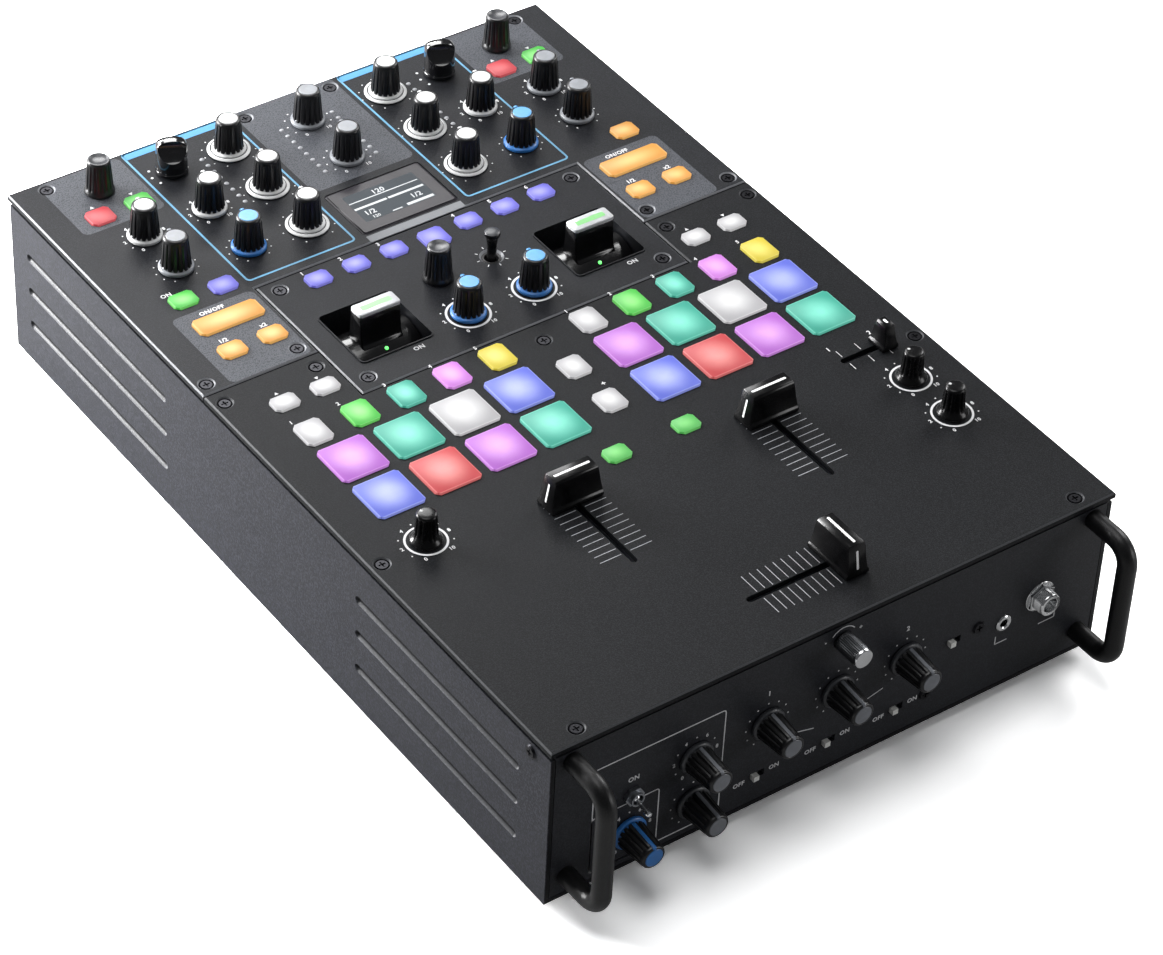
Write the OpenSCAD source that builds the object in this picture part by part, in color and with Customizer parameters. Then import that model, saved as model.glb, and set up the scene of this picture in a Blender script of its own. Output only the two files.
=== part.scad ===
// Two-channel battle mixer for DJs: steel tub, three top plates, pots, faders, pads and paddles.
// X runs across, Y runs from the front edge to the rear, Z is up. All sizes are in millimetres.

/* [Body] */
// Width over the top plates
body_w = 266; // [262:1:290]
// Depth of the top plates, front edge to rear edge
body_d = 392.6; // [382:0.1:420]
// Height of the plate tops above the underside of the tub
body_h = 78.4; // [72:0.1:90]
// Thickness of the top plates
plate_t = 2.5; // [1.5:0.1:3]
// Sheet thickness of the tub
wall_t = 2; // [1.2:0.1:2.5]
// Thickness of the front panel and the rear panel
panel_t = 2; // [1.2:0.1:2.5]
// How far the plates overhang the tub at the sides
side_overhang = 0.6; // [0.2:0.1:1.5]
// How far the plates overhang the front and rear panels
end_overhang = 0.8; // [0.2:0.1:1.5]
// Height of the shadow line under the plates
shadow_gap = 2.4; // [1:0.1:4]
// Depth of the pressed grooves in the side walls
groove_depth = 1.2; // [0.3:0.1:1.3]
// Width of the pressed grooves
groove_w = 4; // [3:0.1:6]
// Radius of the rubber feet
foot_r = 11; // [8:0.5:16]
// Height of the rubber feet
foot_h = 5; // [3:0.5:10]

/* [Plates] */
// Half width of the effects plate
fx_half_w = 79.3; // [78:0.1:80.5]
// Gap along the seams between the three plates
seam = 0.6; // [0.3:0.1:1]
// Width of the bevel along the top edges of the plates
edge_bevel = 0.6; // [0.3:0.1:1]
// Width of the flange that carries the plates
flange_w = 10; // [8:0.5:11]
// Radius of the screw heads
screw_head_r = 2.9; // [2.5:0.1:3.1]
// Radius of the screw shanks
screw_r = 1.5; // [1.2:0.1:2]

/* [Knobs] */
// Height of the fluted knobs
knob_h = 15.5; // [12:0.5:20]
// Body radius of a fluted knob at its foot
knob_foot_r = 6.3; // [5.8:0.1:6.6]
// Body radius of a fluted knob at its top
knob_top_r = 5.2; // [4.2:0.1:5.6]
// Radius of the coloured skirt
skirt_r = 7.4; // [6.9:0.1:7.8]
// Radius of the wide ring under the equaliser knobs
ring_r = 9.2; // [8.4:0.1:10]
// Number of finger flutes
flutes = 16; // [10:1:20]
// Radius of the control shafts
shaft_r = 3; // [2:0.1:3.2]
// Height of the skirtless encoder knobs
encoder_h = 16.3; // [11:0.1:18]
// Height of the source selector knobs
selector_h = 14; // [11:0.5:17]
// Radius of the source selector knobs
selector_r = 6.9; // [6:0.1:7.5]
// Height of the small flared knobs
small_knob_h = 13.5; // [10:0.5:16]
// Radius of the flared foot of the small knobs
small_knob_r = 6.5; // [5.5:0.1:7]
// Radius of the knurled tension knob
tension_r = 4.2; // [3.6:0.1:5]
// Reach of the knurled tension knob
tension_h = 12.5; // [9:0.5:16]

/* [Keys and pads] */
// Side of the square performance pads
pad_w = 21; // [18:0.1:22]
// How far the pads stand above the plate
pad_rise = 1.8; // [1.4:0.1:4]
// How far the keys stand above the plate
key_rise = 1.2; // [0.9:0.1:3]
// Press travel of the keys and pads
key_travel = 0.8; // [0.4:0.1:1]
// Clearance round keys, pads and slots
run_gap = 0.4; // [0.3:0.05:0.6]

/* [Faders] */
// Travel of the channel faders and the crossfader
fader_travel = 45; // [40:1:48]
// Height of the fader caps above the plate
cap_h = 15; // [11:0.5:18]
// Length of the fader caps across the slot
cap_len = 24; // [20:0.5:28]
// Thickness of the fader caps along the slot
cap_w = 11; // [8:0.5:13]
// Distance of the channel faders from the sides of the plates
fader_inset = 86; // [81:0.5:91]
// Distance of the crossfader from the front edge
crossfader_y = 27.5; // [24:0.5:34]

/* [Paddles] */
// Distance of the effect paddles from the ends of the effects plate
paddle_inset = 27; // [26:0.1:30]
// Width of the paddle wells
well_w = 33.5; // [30:0.1:35]
// Width of the paddle blade
blade_w = 19.4; // [16:0.1:24]
// Height of the paddle blade above the plate
blade_h = 12; // [8:0.5:16]

/* [Front panel] */
// Radius of the handle bars
bar_r = 4; // [3:0.25:4.5]
// Reach of the handles in front of the panel
handle_reach = 26; // [20:0.5:36]
// Distance of the handles from the sides of the plates
handle_inset = 10; // [9:0.5:15]
// Height of the lower knob row above the underside
low_row = 18; // [16:0.5:20]
// Height of the upper knob row above the underside
high_row = 41; // [37:0.5:44]
// Bore radius of the large headphone socket
big_jack_r = 3.2; // [3.18:0.01:3.3]
// Bore radius of the small headphone socket
small_jack_r = 1.8; // [1.76:0.01:1.9]

/* [Hidden] */
$fn = 48;
fit_gap = 0.3;
half_w = body_w / 2;
under_z = body_h - plate_t;
tub_x = half_w - side_overhang;
wall_top = under_z - shadow_gap;
inner_x = tub_x - wall_t;
front_y = end_overhang;
rear_y = body_d - end_overhang;
socket_reach = 9;
mid_y = (rear_y + socket_reach + front_y - handle_reach) / 2;

// Rows of controls on the plates, measured back from the rear edge
row_high = body_d - 21.8;
row_mid = body_d - 52.6;
row_low = body_d - 83.2;
row_mic = body_d - 54.4;
row_tone = body_d - 79.1;
row_scroll = body_d - 18;
fx_top = body_d - 107.6;
fx_bottom = body_d - 186.6;
split_y = body_d - 155.2;
row_time = body_d - 141.3;
row_depth = body_d - 167.1;
row_beat = body_d - 141;
row_paddle = body_d - 154.3;
row_fx_keys = body_d - 116.2;
row_deck_keys = body_d - 33.6;
row_single_keys = body_d - 99.1;
row_wide_keys = body_d - 118.4;
row_pair_keys = body_d - 136.6;
row_modes = body_d - 196.6;
row_pads = [body_d - 218.2, body_d - 243.2];
row_taps = [body_d - 217.9, body_d - 242.6];
row_parameter = body_d - 175.4;
row_doubles = body_d - 270.3;
fader_mid = body_d - 300.2;
row_sampler = body_d - 272.6;
row_cue_mix = body_d - 295;
row_cue_level = body_d - 320.8;

// Columns of controls
spread = body_w / 266;
eq_x = 39.3 * spread;
level_x = 67.5 * spread;
outer_x = half_w - 33.5;
selector_x = 67 * spread;
depth_x = 16.1 * spread;
time_x = -13.5 * spread;
beat_x = 13 * spread;
fader_x = half_w - fader_inset;
paddle_x = fx_half_w - paddle_inset;
key_edge = half_w - 19.2;
key_end = half_w - 17.3;
key_span = key_edge - fx_half_w - 4.7;
key_w = 0.376 * key_span;
key_pair = key_span - key_w;
deck_shift = key_edge + key_end - key_span;
mode_w = 11.8;
mode_d = 14;
mode_edge = half_w - 18.6;
mode_column = 16.2;
mode_pitch = (mode_edge - mode_w - mode_column) / 4;
pad_pitch = 25.9 * spread;
pad_column = 26.5 * spread;
fx_key_pitch = fx_half_w * 0.2308;
fx_key_w = 10.7;
fx_key_d = 8.6;
centre_key_w = 11.6;
key_cut = 2;
pad_cut = 1.7;

// Controls on the front panel, measured from its middle
mic_x = -95 * spread;
mic2_x = -65.7 * spread;
contour_x = [-32.5 * spread, 0.5, 33.5 * spread];
tension_at = [1, body_h - 11.9];
mic_switch_at = [-94 * spread, 36.5];
reverse_at = [[-35 * spread, 15.5], [-1, 15.5], [32 * spread, 15.5]];
split_cue_at = [58 * spread, 37.5];
big_jack_at = [100.5 * spread, 40];
small_jack_at = [83 * spread, 34.5];
front_screws = [[70 * spread, 38.5], [46 * spread, 16]];
handle_low = 11;
handle_high = body_h - 9;
handle_bend = 9;
handle_x = half_w - handle_inset;

// Pots, encoders and boards under the plates
bush_bore = shaft_r + fit_gap;
bush_r = bush_bore + 0.7;
shaft_hole = bush_r + 0.2;
pot_drop = 3.6;
pot_h = 6.5;
pot_w = 10;
pot_depth = pot_drop + pot_h;
shaft_reach = pot_drop + 2.4;
board_t = 1.6;
board_z = under_z - pot_depth - board_t;
foot_lift = run_gap;
board_edge = half_w - 16.5;
board_lift = 6;
main_board_x = half_w - 21;
main_board_y = 140;
supply_at = [43 - half_w, main_board_y + 44];
supply_w = 52;
supply_d = 102;
supply_h = 32;
chip_w = 16;

// Faders
stem_w = 4;
stem_t = 1.4;
slot_w = stem_t + 2 * run_gap + 0.8;
slot_len = fader_travel + stem_w + 2 * run_gap;
fader_rest = 18.1;
cue_slider_x = [half_w - 38.5, half_w - 19.7];
cue_travel = cue_slider_x[1] - cue_slider_x[0];
row_cue_slider = body_d - 272.3;

// Paddles
drum_r = well_w / 2 - run_gap - 0.15;
pivot_drop = drum_r + 3;
paddle_pin_r = 2;
drum_w = well_w - 2 * run_gap - 0.4;
well_wall = 1.6;
well_depth = pivot_drop + 3;

// Display and level meters
display_y = body_d - 86.1;
display_w = 46.6;
display_d = 31;
meter_x = [-52.3 * spread, -13, 12.3, 51.3 * spread];
meter_r = 1;
function meter_y(i) = body_d - 21.6 - i * 4.9;

// Key caps: the stem ends just above its switch when the key is pressed
tact_h = 3.5;
key_foot_t = 1;
stem_len = pot_depth - run_gap - key_foot_t - tact_h - key_travel - fit_gap;

// Panels between the side walls
panel_w = 2 * (inner_x - fit_gap);
panel_z0 = wall_t + fit_gap;
panel_z1 = under_z - wall_t + 0.2;
frame_x = fx_half_w + 3.4;
notch_x = fx_half_w + seam;
groove_rows = [20, 37.5, 55];
groove_spans = [[20, 129], [body_d - 124.6, body_d - 13.6]];
side_screw_y = 13;
side_screw_z = wall_top - 4.5;
foot_x = half_w - 26;
function foot_y(end) = body_d / 2 + end * (body_d / 2 - 30);

// Front sockets and switches
toggle_bush_r = 3;
toggle_lean = 12;
jack_barrel_r = big_jack_r + 1.8;

// Rear panel, measured from its middle
rear_row = 24;
xlr_row = 46;
xlr_x = [-52 * spread, -22 * spread, 30 * spread, 60 * spread];
xlr_barrel_r = 11.4;
trs_x = [-61 * spread, -45 * spread];
rca_x = [-27 * spread, -9 * spread, 9 * spread, 27 * spread, 45 * spread];
rca_base_r = 5;
usb_x = [86 * spread, 106 * spread];
ground_x = [63 * spread, 75 * spread];
inlet_at = [-90 * spread, 26];
rocker_at = [-90 * spread, 52];
rocker_pivot = 3;

// Which top plate a point lies on
function in_mixer_plate(p) = p[1] > split_y && (abs(p[0]) > fx_half_w || p[1] > fx_top);
function in_fx_plate(p) = abs(p[0]) < fx_half_w && p[1] > fx_bottom && p[1] < fx_top;

// Screws that hold the plates
screw_inset = 5.1;
corner_inset = 15.4;
edge_inset = 5.7;
seam_screw_rear = split_y + 6.3;
seam_screw_front = split_y - 7.5;
fx_screw_out = fx_half_w + 6.5;
fx_screw_in = fx_half_w - 7.5;
plate_screws = [
    for (side = [-1, 1]) each [
        [side * (half_w - corner_inset), body_d - edge_inset],
        [side * 21.4 * spread, body_d - edge_inset],
        [side * (half_w - screw_inset), seam_screw_rear],
        [side * fx_screw_out, seam_screw_rear],
        [side * (half_w - screw_inset), seam_screw_front],
        [side * fx_screw_out, seam_screw_front],
        [side * fx_screw_in, fx_top - 6.3],
        [side * fx_screw_in, fx_bottom + 7.5],
        [side * (half_w - screw_inset), row_sampler - 2],
        [side * (half_w - corner_inset), 6.5]
    ],
    [0, fx_bottom - 10.5]
];

// Rotary controls of the mixer plate, as centre points
mixer_pots = [
    for (side = [-1, 1]) each [
        [side * eq_x, row_high], [side * eq_x, row_mid], [side * eq_x, row_low],
        [side * level_x, row_mid], [side * level_x, row_low], [side * selector_x, row_high],
        [side * outer_x, row_mic], [side * outer_x, row_tone], [side * outer_x, row_scroll]
    ],
    [0, row_high], [0, row_mid]
];
fx_pots = [[time_x, row_time], [-depth_x, row_depth], [depth_x, row_depth]];
small_pots = [
    [-outer_x - 7.2, row_sampler], [outer_x + 10.1, row_cue_mix], [outer_x + 10.2, row_cue_level]
];
front_pots = [
    [mic_x, low_row], [mic2_x, high_row], [mic2_x, low_row],
    [contour_x[0], high_row], [contour_x[1], high_row], [contour_x[2], high_row]
];

// Keys as [x, y, width, depth]
mixer_keys_at = [
    for (shift = [0, deck_shift]) each [
        [shift - key_edge + key_w / 2, row_deck_keys, key_w, 10],
        [shift - key_edge + key_w / 2 + key_pair, row_deck_keys, key_w, 10],
        [shift - key_edge + (key_w + key_pair) / 2, row_wide_keys, key_w + key_pair, 10.5],
        [shift - key_edge + key_w / 2, row_pair_keys, key_w, 9],
        [shift - key_edge + key_w / 2 + key_pair, row_pair_keys, key_w, 9]
    ],
    [-key_edge + key_w / 2, row_single_keys, key_w, 9],
    [-key_edge + key_w / 2 + key_pair, row_single_keys, key_w, 9],
    [key_end - key_w / 2, row_single_keys, key_w, 9]
];
fx_keys_at = [
    for (i = [-3:3])
        i == 0 ? [0, row_fx_keys - 2.1, centre_key_w, centre_key_w] : [i * fx_key_pitch, row_fx_keys, fx_key_w, fx_key_d]
];
lower_keys_at = [
    for (i = [0:4]) each [
        [-mode_edge + mode_w / 2 + i * mode_pitch, row_modes, mode_w, mode_d],
        [mode_column + mode_w / 2 + i * mode_pitch, row_modes, mode_w, mode_d]
    ],
    for (shift = [0, deck_shift]) each [
        [shift - key_edge + key_w / 2, row_parameter, key_w, 8.5],
        [shift - key_edge + key_w / 2 + key_pair, row_parameter, key_w, 8.5]
    ],
    [0, row_taps[0], 11, 12.5],
    [0, row_taps[1], 11, 12.5],
    [-16.6, row_doubles, 10.8, 8.6],
    [16.6, row_doubles, 10.8, 8.6]
];
pads_at = [
    for (y = row_pads, side = [-1, 1], i = [0:3]) [side * (pad_column + i * pad_pitch), y, pad_w, pad_w]
];

// Puts the model's origin under the middle of its box, with the feet on the ground
module in_frame() translate([0, -mid_y, foot_h]) children();

module on_plate(at) translate([at[0], at[1], body_h]) children();

module on_front(at) translate([at[0], front_y, at[1]]) rotate([90, 0, 0]) children();

module on_rear(at) translate([at[0], rear_y, at[1]]) rotate([90, 0, 180]) children();

module rounded_rect(w, d, r) {
    square([w - 2 * r, d], center = true);
    square([w, d - 2 * r], center = true);
    for (x = [-1, 1], y = [-1, 1])
        translate([x * (w / 2 - r), y * (d / 2 - r)]) circle(r);
}

module stadium(len, w) {
    square([len - w, w], center = true);
    for (x = [-1, 1]) translate([x * (len - w) / 2, 0]) circle(w / 2);
}

// A rectangle with its corners cut at 45 degrees
module cut_rect(w, d, c) polygon([
    [-w / 2 + c, -d / 2], [w / 2 - c, -d / 2], [w / 2, -d / 2 + c], [w / 2, d / 2 - c],
    [w / 2 - c, d / 2], [-w / 2 + c, d / 2], [-w / 2, d / 2 - c], [-w / 2, -d / 2 + c]]);

// Bevels along the top edges of a sheet: the sheet's top is at height 0 and lies on the +Y side
module edge_prism(len, past = 0) rotate([90, 0, 90]) translate([0, 0, -past])
    linear_extrude(len + 2 * past) polygon([[-1, -edge_bevel - 1], [edge_bevel + 1, 1], [-1, 1]]);

module rim_bevel(x0, y0, x1, y1) {
    translate([x0, y0]) edge_prism(x1 - x0, 1);
    translate([x1, y0]) rotate(90) edge_prism(y1 - y0, 1);
    translate([x1, y1]) rotate(180) edge_prism(x1 - x0, 1);
    translate([x0, y1]) rotate(270) edge_prism(y1 - y0, 1);
}

// The same round a notch that is open towards -Y, with its back edge on the X axis
module notch_bevel(half, len) {
    translate([-half, 0]) edge_prism(2 * half);
    for (side = [0, 1]) mirror([side, 0]) {
        translate([half, 0]) rotate(-90) edge_prism(len);
        intersection() {
            translate([half - 1, 0]) edge_prism(edge_bevel + 2);
            translate([half, edge_bevel + 1]) rotate(-90) edge_prism(edge_bevel + 2);
        }
    }
}

// Openings

module shaft_holes(points) {
    for (p = points) translate([p[0], p[1], -1]) cylinder(h = plate_t + 2, r = shaft_hole);
}

module key_holes(keys, c) {
    for (k = keys) translate([k[0], k[1], -1]) linear_extrude(plate_t + 2)
        cut_rect(k[2] + 2 * run_gap, k[3] + 2 * run_gap, c + 0.6 * run_gap);
}

module screw_holes(points) {
    for (p = points) translate([p[0], p[1], 0]) {
        translate([0, 0, -1]) cylinder(h = plate_t + 2, r = screw_r + 0.2);
        translate([0, 0, plate_t - 1.3]) cylinder(h = 2, r = screw_head_r + 0.2);
        translate([0, 0, plate_t - 0.5])
            cylinder(h = 0.6, r1 = screw_head_r + 0.2, r2 = screw_head_r + 0.9);
    }
}

// Tub and panels

module wall_section() {
    square_from(-tub_x, 0, 2 * tub_x, wall_t);
    for (side = [0, 1]) mirror([side, 0]) {
        square_from(inner_x, 0, wall_t, wall_top);
        square_from(inner_x - wall_t, wall_top - 8, wall_t, under_z - wall_top + 8);
        square_from(inner_x - wall_t - 0.01, wall_top - 8, wall_t + 0.02, 8);
    }
}

module square_from(x, y, w, h) translate([x, y]) square([w, h]);

module plate_frame() {
    difference() {
        square_from(-inner_x, front_y + panel_t, 2 * inner_x, rear_y - front_y - 2 * panel_t);
        square_from(-inner_x + wall_t + flange_w, front_y + panel_t + flange_w,
            2 * (inner_x - wall_t - flange_w), rear_y - front_y - 2 * (panel_t + flange_w));
    }
    difference() {
        square_from(-frame_x, fx_bottom - 1.5, 2 * frame_x, fx_top - fx_bottom + 4);
        square_from(-frame_x + 11.4, fx_bottom + 11, 2 * frame_x - 22.8, fx_top - fx_bottom - 13.5);
    }
    for (side = [0, 1]) mirror([side, 0]) {
        square_from(fx_half_w, split_y - 13, inner_x - wall_t - fx_half_w, 25);
        square_from(fx_half_w - 13, fx_top - 13, 13, 13);
    }
    square_from(-6, fx_bottom - 14, 12, 14);
}

// Round-bottomed grooves with round ends
module side_grooves() {
    r = (groove_w * groove_w / 4 + groove_depth * groove_depth) / (2 * groove_depth);
    for (side = [-1, 1], z = groove_rows, span = groove_spans)
        translate([side * (tub_x + r - groove_depth), 0, z]) {
            translate([0, span[1] - groove_w / 2, 0]) rotate([90, 0, 0])
                cylinder(h = span[1] - span[0] - groove_w, r = r);
            for (y = [span[0] + groove_w / 2, span[1] - groove_w / 2]) translate([0, y, 0]) sphere(r = r);
        }
}

module chassis() {
    color("#2b2c30") in_frame() difference() {
        union() {
            translate([0, rear_y, 0]) rotate([90, 0, 0]) linear_extrude(rear_y - front_y) wall_section();
            translate([0, 0, under_z - wall_t]) linear_extrude(wall_t) plate_frame();
        }
        side_grooves();
        for (p = plate_screws) translate([p[0], p[1], under_z - 3 * wall_t])
            cylinder(h = 3 * wall_t + 1, r = screw_r + 0.2);
        for (x = [-1, 1], y = [-1, 1]) translate([x * foot_x, foot_y(y), -1])
            cylinder(h = wall_t + 2, r = screw_r + 0.2);
        for (y = [front_y - 1, rear_y - panel_t])
            translate([-inner_x, y, wall_t]) cube([2 * inner_x, panel_t + 1, body_h]);
        translate([-half_w, side_screw_y, side_screw_z]) rotate([0, 90, 0])
            cylinder(h = body_w, r = screw_r + 0.2);
    }
}

module front_panel() {
    color("#1d1e22") in_frame() difference() {
        translate([-panel_w / 2, front_y, panel_z0]) cube([panel_w, panel_t, panel_z1 - panel_z0]);
        for (p = front_pots) on_front(p) through(shaft_hole);
        on_front(tension_at) through(shaft_hole);
        on_front(mic_switch_at) through(toggle_bush_r + 0.2);
        on_front(big_jack_at) through(jack_barrel_r + 0.2);
        on_front(small_jack_at) through(small_jack_r + 1.4);
        for (p = concat(reverse_at, [split_cue_at])) on_front(p)
            translate([0, 0, -panel_t - 1]) linear_extrude(panel_t + 2) square([6.6, 3.2], center = true);
        for (p = front_screws) on_front(p) through(screw_r + 0.2);
        for (side = [-1, 1], z = [handle_low, handle_high]) on_front([side * handle_x, z]) through(2.2);
    }
}

module through(r) translate([0, 0, -panel_t - 1]) cylinder(h = panel_t + 2, r = r);

module rear_panel() {
    color("#232428") in_frame() difference() {
        translate([-panel_w / 2, rear_y - panel_t, panel_z0]) cube([panel_w, panel_t, panel_z1 - panel_z0]);
        for (x = xlr_x) on_rear([x, xlr_row]) through(xlr_barrel_r + 0.2);
        for (x = trs_x) on_rear([x, rear_row]) through(jack_barrel_r + 0.2);
        for (x = rca_x, z = [-7, 7]) on_rear([x, rear_row + z]) through(rca_base_r + 0.2);
        for (x = usb_x) on_rear([x, xlr_row + 4]) translate([0, 0, -panel_t - 1])
            linear_extrude(panel_t + 2) square([12.6, 11.6], center = true);
        on_rear(inlet_at) translate([0, 0, -panel_t - 1])
            linear_extrude(panel_t + 2) square([28, 21], center = true);
        on_rear(rocker_at) translate([0, 0, -panel_t - 1])
            linear_extrude(panel_t + 2) square([20, 13.6], center = true);
        for (x = ground_x) on_rear([x, rear_row]) through(screw_r + 0.2);
        for (side = [-1, 1], z = [12, 64]) on_rear([side * (half_w - 8), z]) through(screw_r + 0.2);
    }
}

// Top plates

module mixer_outline() difference() {
    square_from(-half_w, split_y + seam / 2, body_w, body_d - split_y - seam / 2);
    square_from(-notch_x, fx_bottom - 20, 2 * notch_x, fx_top + seam - fx_bottom + 20);
}

module mixer_plate() {
    color("#3a3b3e") in_frame() translate([0, 0, under_z]) difference() {
        linear_extrude(plate_t) mixer_outline();
        translate([0, 0, plate_t]) {
            rim_bevel(-half_w, split_y + seam / 2, half_w, body_d);
            translate([0, fx_top + seam]) notch_bevel(notch_x, fx_top + seam - split_y);
        }
        shaft_holes(mixer_pots);
        key_holes(mixer_keys_at, key_cut);
        screw_holes([for (p = plate_screws) if (in_mixer_plate(p)) p]);
        translate([0, display_y, -1]) linear_extrude(plate_t + 2)
            rounded_rect(display_w + 0.6, display_d + 0.6, 2);
        for (x = meter_x, i = [0:7]) translate([x, meter_y(i), -1])
            cylinder(h = plate_t + 2, r = meter_r + 0.1);
    }
}

module paddle_well() {
    difference() {
        union() {
            translate([0, 0, -well_depth]) linear_extrude(well_depth - plate_t)
                rounded_rect(well_w + 2 * well_wall, well_w + 2 * well_wall, 3);
            translate([0, 0, -plate_t - 0.01]) linear_extrude(plate_t + 0.51)
                rounded_rect(well_w + 1.2, well_w + 1.2, 2.4);
        }
        translate([0, 0, -well_depth - 1]) linear_extrude(well_depth + 3) rounded_rect(well_w, well_w, 1.8);
        translate([0, 0, -pivot_drop]) rotate([0, 90, 0])
            cylinder(h = well_w + 4 * well_wall, r = paddle_pin_r + fit_gap, center = true);
    }
}

module fx_plate() {
    color("#36373a") in_frame() {
        translate([0, 0, under_z]) difference() {
            linear_extrude(plate_t) square_from(-fx_half_w, fx_bottom, 2 * fx_half_w, fx_top - fx_bottom);
            translate([0, 0, plate_t]) rim_bevel(-fx_half_w, fx_bottom, fx_half_w, fx_top);
            shaft_holes(fx_pots);
            key_holes(fx_keys_at, key_cut);
            screw_holes([for (p = plate_screws) if (in_fx_plate(p)) p]);
            translate([beat_x, row_beat, -1]) cylinder(h = plate_t + 2, r = 4.2);
            translate([beat_x, row_beat, plate_t - 0.8]) cylinder(h = 1, r1 = 4.2, r2 = 5.4);
            for (side = [-1, 1]) translate([side * paddle_x, row_paddle, -1])
                linear_extrude(plate_t + 2) rounded_rect(well_w + 1.2, well_w + 1.2, 2.4);
        }
        for (side = [-1, 1]) on_plate([side * paddle_x, row_paddle]) paddle_well();
    }
}

module pad_outline() difference() {
    square_from(-half_w, 0, body_w, split_y - seam / 2);
    square_from(-notch_x, fx_bottom - seam, 2 * notch_x, split_y);
}

module pad_plate() {
    color("#333438") in_frame() translate([0, 0, under_z]) difference() {
        linear_extrude(plate_t) pad_outline();
        translate([0, 0, plate_t]) {
            rim_bevel(-half_w, 0, half_w, split_y - seam / 2);
            translate([0, fx_bottom - seam]) rotate(180) notch_bevel(notch_x, split_y - fx_bottom);
        }
        shaft_holes(small_pots);
        key_holes(lower_keys_at, key_cut);
        key_holes(pads_at, pad_cut);
        screw_holes([for (p = plate_screws) if (!in_mixer_plate(p) && !in_fx_plate(p)) p]);
        for (side = [-1, 1]) translate([side * fader_x, fader_mid, -1]) rotate([0, 0, 90])
            linear_extrude(plate_t + 2) stadium(slot_len, slot_w);
        translate([0, crossfader_y, -1]) linear_extrude(plate_t + 2) stadium(slot_len, slot_w);
        translate([(cue_slider_x[0] + cue_slider_x[1]) / 2, row_cue_slider, -1])
            linear_extrude(plate_t + 2) stadium(cue_travel + stem_w + 2 * run_gap, slot_w);
    }
}

// Handles, feet and screws

module handle() {
    span = handle_high - handle_low;
    reach = handle_reach - bar_r;
    for (z = [0, span]) translate([0, 0, z]) rotate([90, 0, 0])
        cylinder(h = reach - handle_bend, r = bar_r);
    translate([0, -reach, handle_bend]) cylinder(h = span - 2 * handle_bend, r = bar_r);
    translate([0, -reach + handle_bend, handle_bend]) rotate([90, 0, -90])
        rotate_extrude(angle = 90, start = 270) translate([handle_bend, 0]) circle(bar_r);
    translate([0, -reach + handle_bend, span - handle_bend]) rotate([90, 0, -90])
        rotate_extrude(angle = 90, start = 0) translate([handle_bend, 0]) circle(bar_r);
    for (z = [0, span]) translate([0, panel_t + 2, z]) rotate([90, 0, 0])
        cylinder(h = panel_t + 2.01, r = 2);
}

module front_handles() {
    color("#141416") in_frame() for (side = [-1, 1])
        translate([side * handle_x, front_y, handle_low]) handle();
}

module rubber_feet() {
    color("#17171a") in_frame() for (x = [-1, 1], y = [-1, 1]) translate([x * foot_x, foot_y(y), -foot_h])
        difference() {
            cylinder(h = foot_h, r1 = foot_r - 1.2, r2 = foot_r);
            translate([0, 0, -1]) cylinder(h = foot_h - 1, r = 4);
            translate([0, 0, -1]) cylinder(h = foot_h + 2, r = screw_r + 0.2);
        }
}

// A pan-head screw with a cross recess, its head's underside at height 0
module screw(shank) {
    difference() {
        cylinder(h = 0.9, r1 = screw_head_r, r2 = screw_head_r - 0.5);
        for (a = [0, 90]) rotate([0, 0, a]) translate([-1.5, -0.35, 0.3]) cube([3, 0.7, 1]);
    }
    translate([0, 0, -shank]) cylinder(h = shank + 0.01, r = screw_r);
}

module panel_screws() {
    color("#0f0f11") in_frame() {
        for (p = plate_screws) translate([p[0], p[1], body_h - 1.3]) screw(plate_t + wall_t);
        for (side = [0, 1]) mirror([side, 0, 0]) translate([tub_x, side_screw_y, side_screw_z])
            rotate([0, 90, 0]) screw(3 * wall_t);
        for (p = front_screws) on_front(p) screw(panel_t + 2);
        for (side = [-1, 1], z = [12, 64]) on_rear([side * (half_w - 8), z]) screw(panel_t + 2);
        for (x = [-1, 1], y = [-1, 1]) translate([x * foot_x, foot_y(y), -2]) rotate([180, 0, 0])
            screw(wall_t + 3);
    }
}

// Display and meters

module display_and_meters() {
    color("#101216") in_frame() {
        on_plate([0, display_y]) difference() {
            union() {
                translate([0, 0, -plate_t - 0.01]) linear_extrude(plate_t + 0.31)
                    rounded_rect(display_w, display_d, 1.8);
                translate([0, 0, -plate_t - 4]) linear_extrude(4)
                    square([display_w + 5, display_d + 5], center = true);
            }
            translate([-0.7, 1.2, -0.6]) linear_extrude(2) square([34.5, 18.5], center = true);
        }
        for (x = meter_x, i = [0:7]) on_plate([x, meter_y(i)])
            translate([0, 0, -pot_depth - plate_t]) cylinder(h = pot_depth + plate_t + 0.1, r = meter_r);
    }
}

// Sockets

module jack(bore, barrel, out, nut) {
    depth = 14;
    difference() {
        union() {
            translate([0, 0, -panel_t - depth + 2]) cylinder(h = depth + panel_t - 2 + out, r = barrel);
            cylinder(h = 2.2, r = nut, $fn = 6);
            cylinder(h = 0.5, r = nut + 0.4);
            translate([-barrel - 1, -barrel - 1, -panel_t - depth])
                cube([2 * barrel + 2, 2 * barrel + 2, depth]);
        }
        translate([0, 0, -panel_t - depth + 2]) cylinder(h = depth + panel_t + out, r = bore);
    }
}

module headphone_jacks() {
    color("#c8c9c4") in_frame() {
        on_front(big_jack_at) jack(big_jack_r, jack_barrel_r, 7, 6.6);
        on_front(small_jack_at) jack_ring();
    }
}

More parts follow.
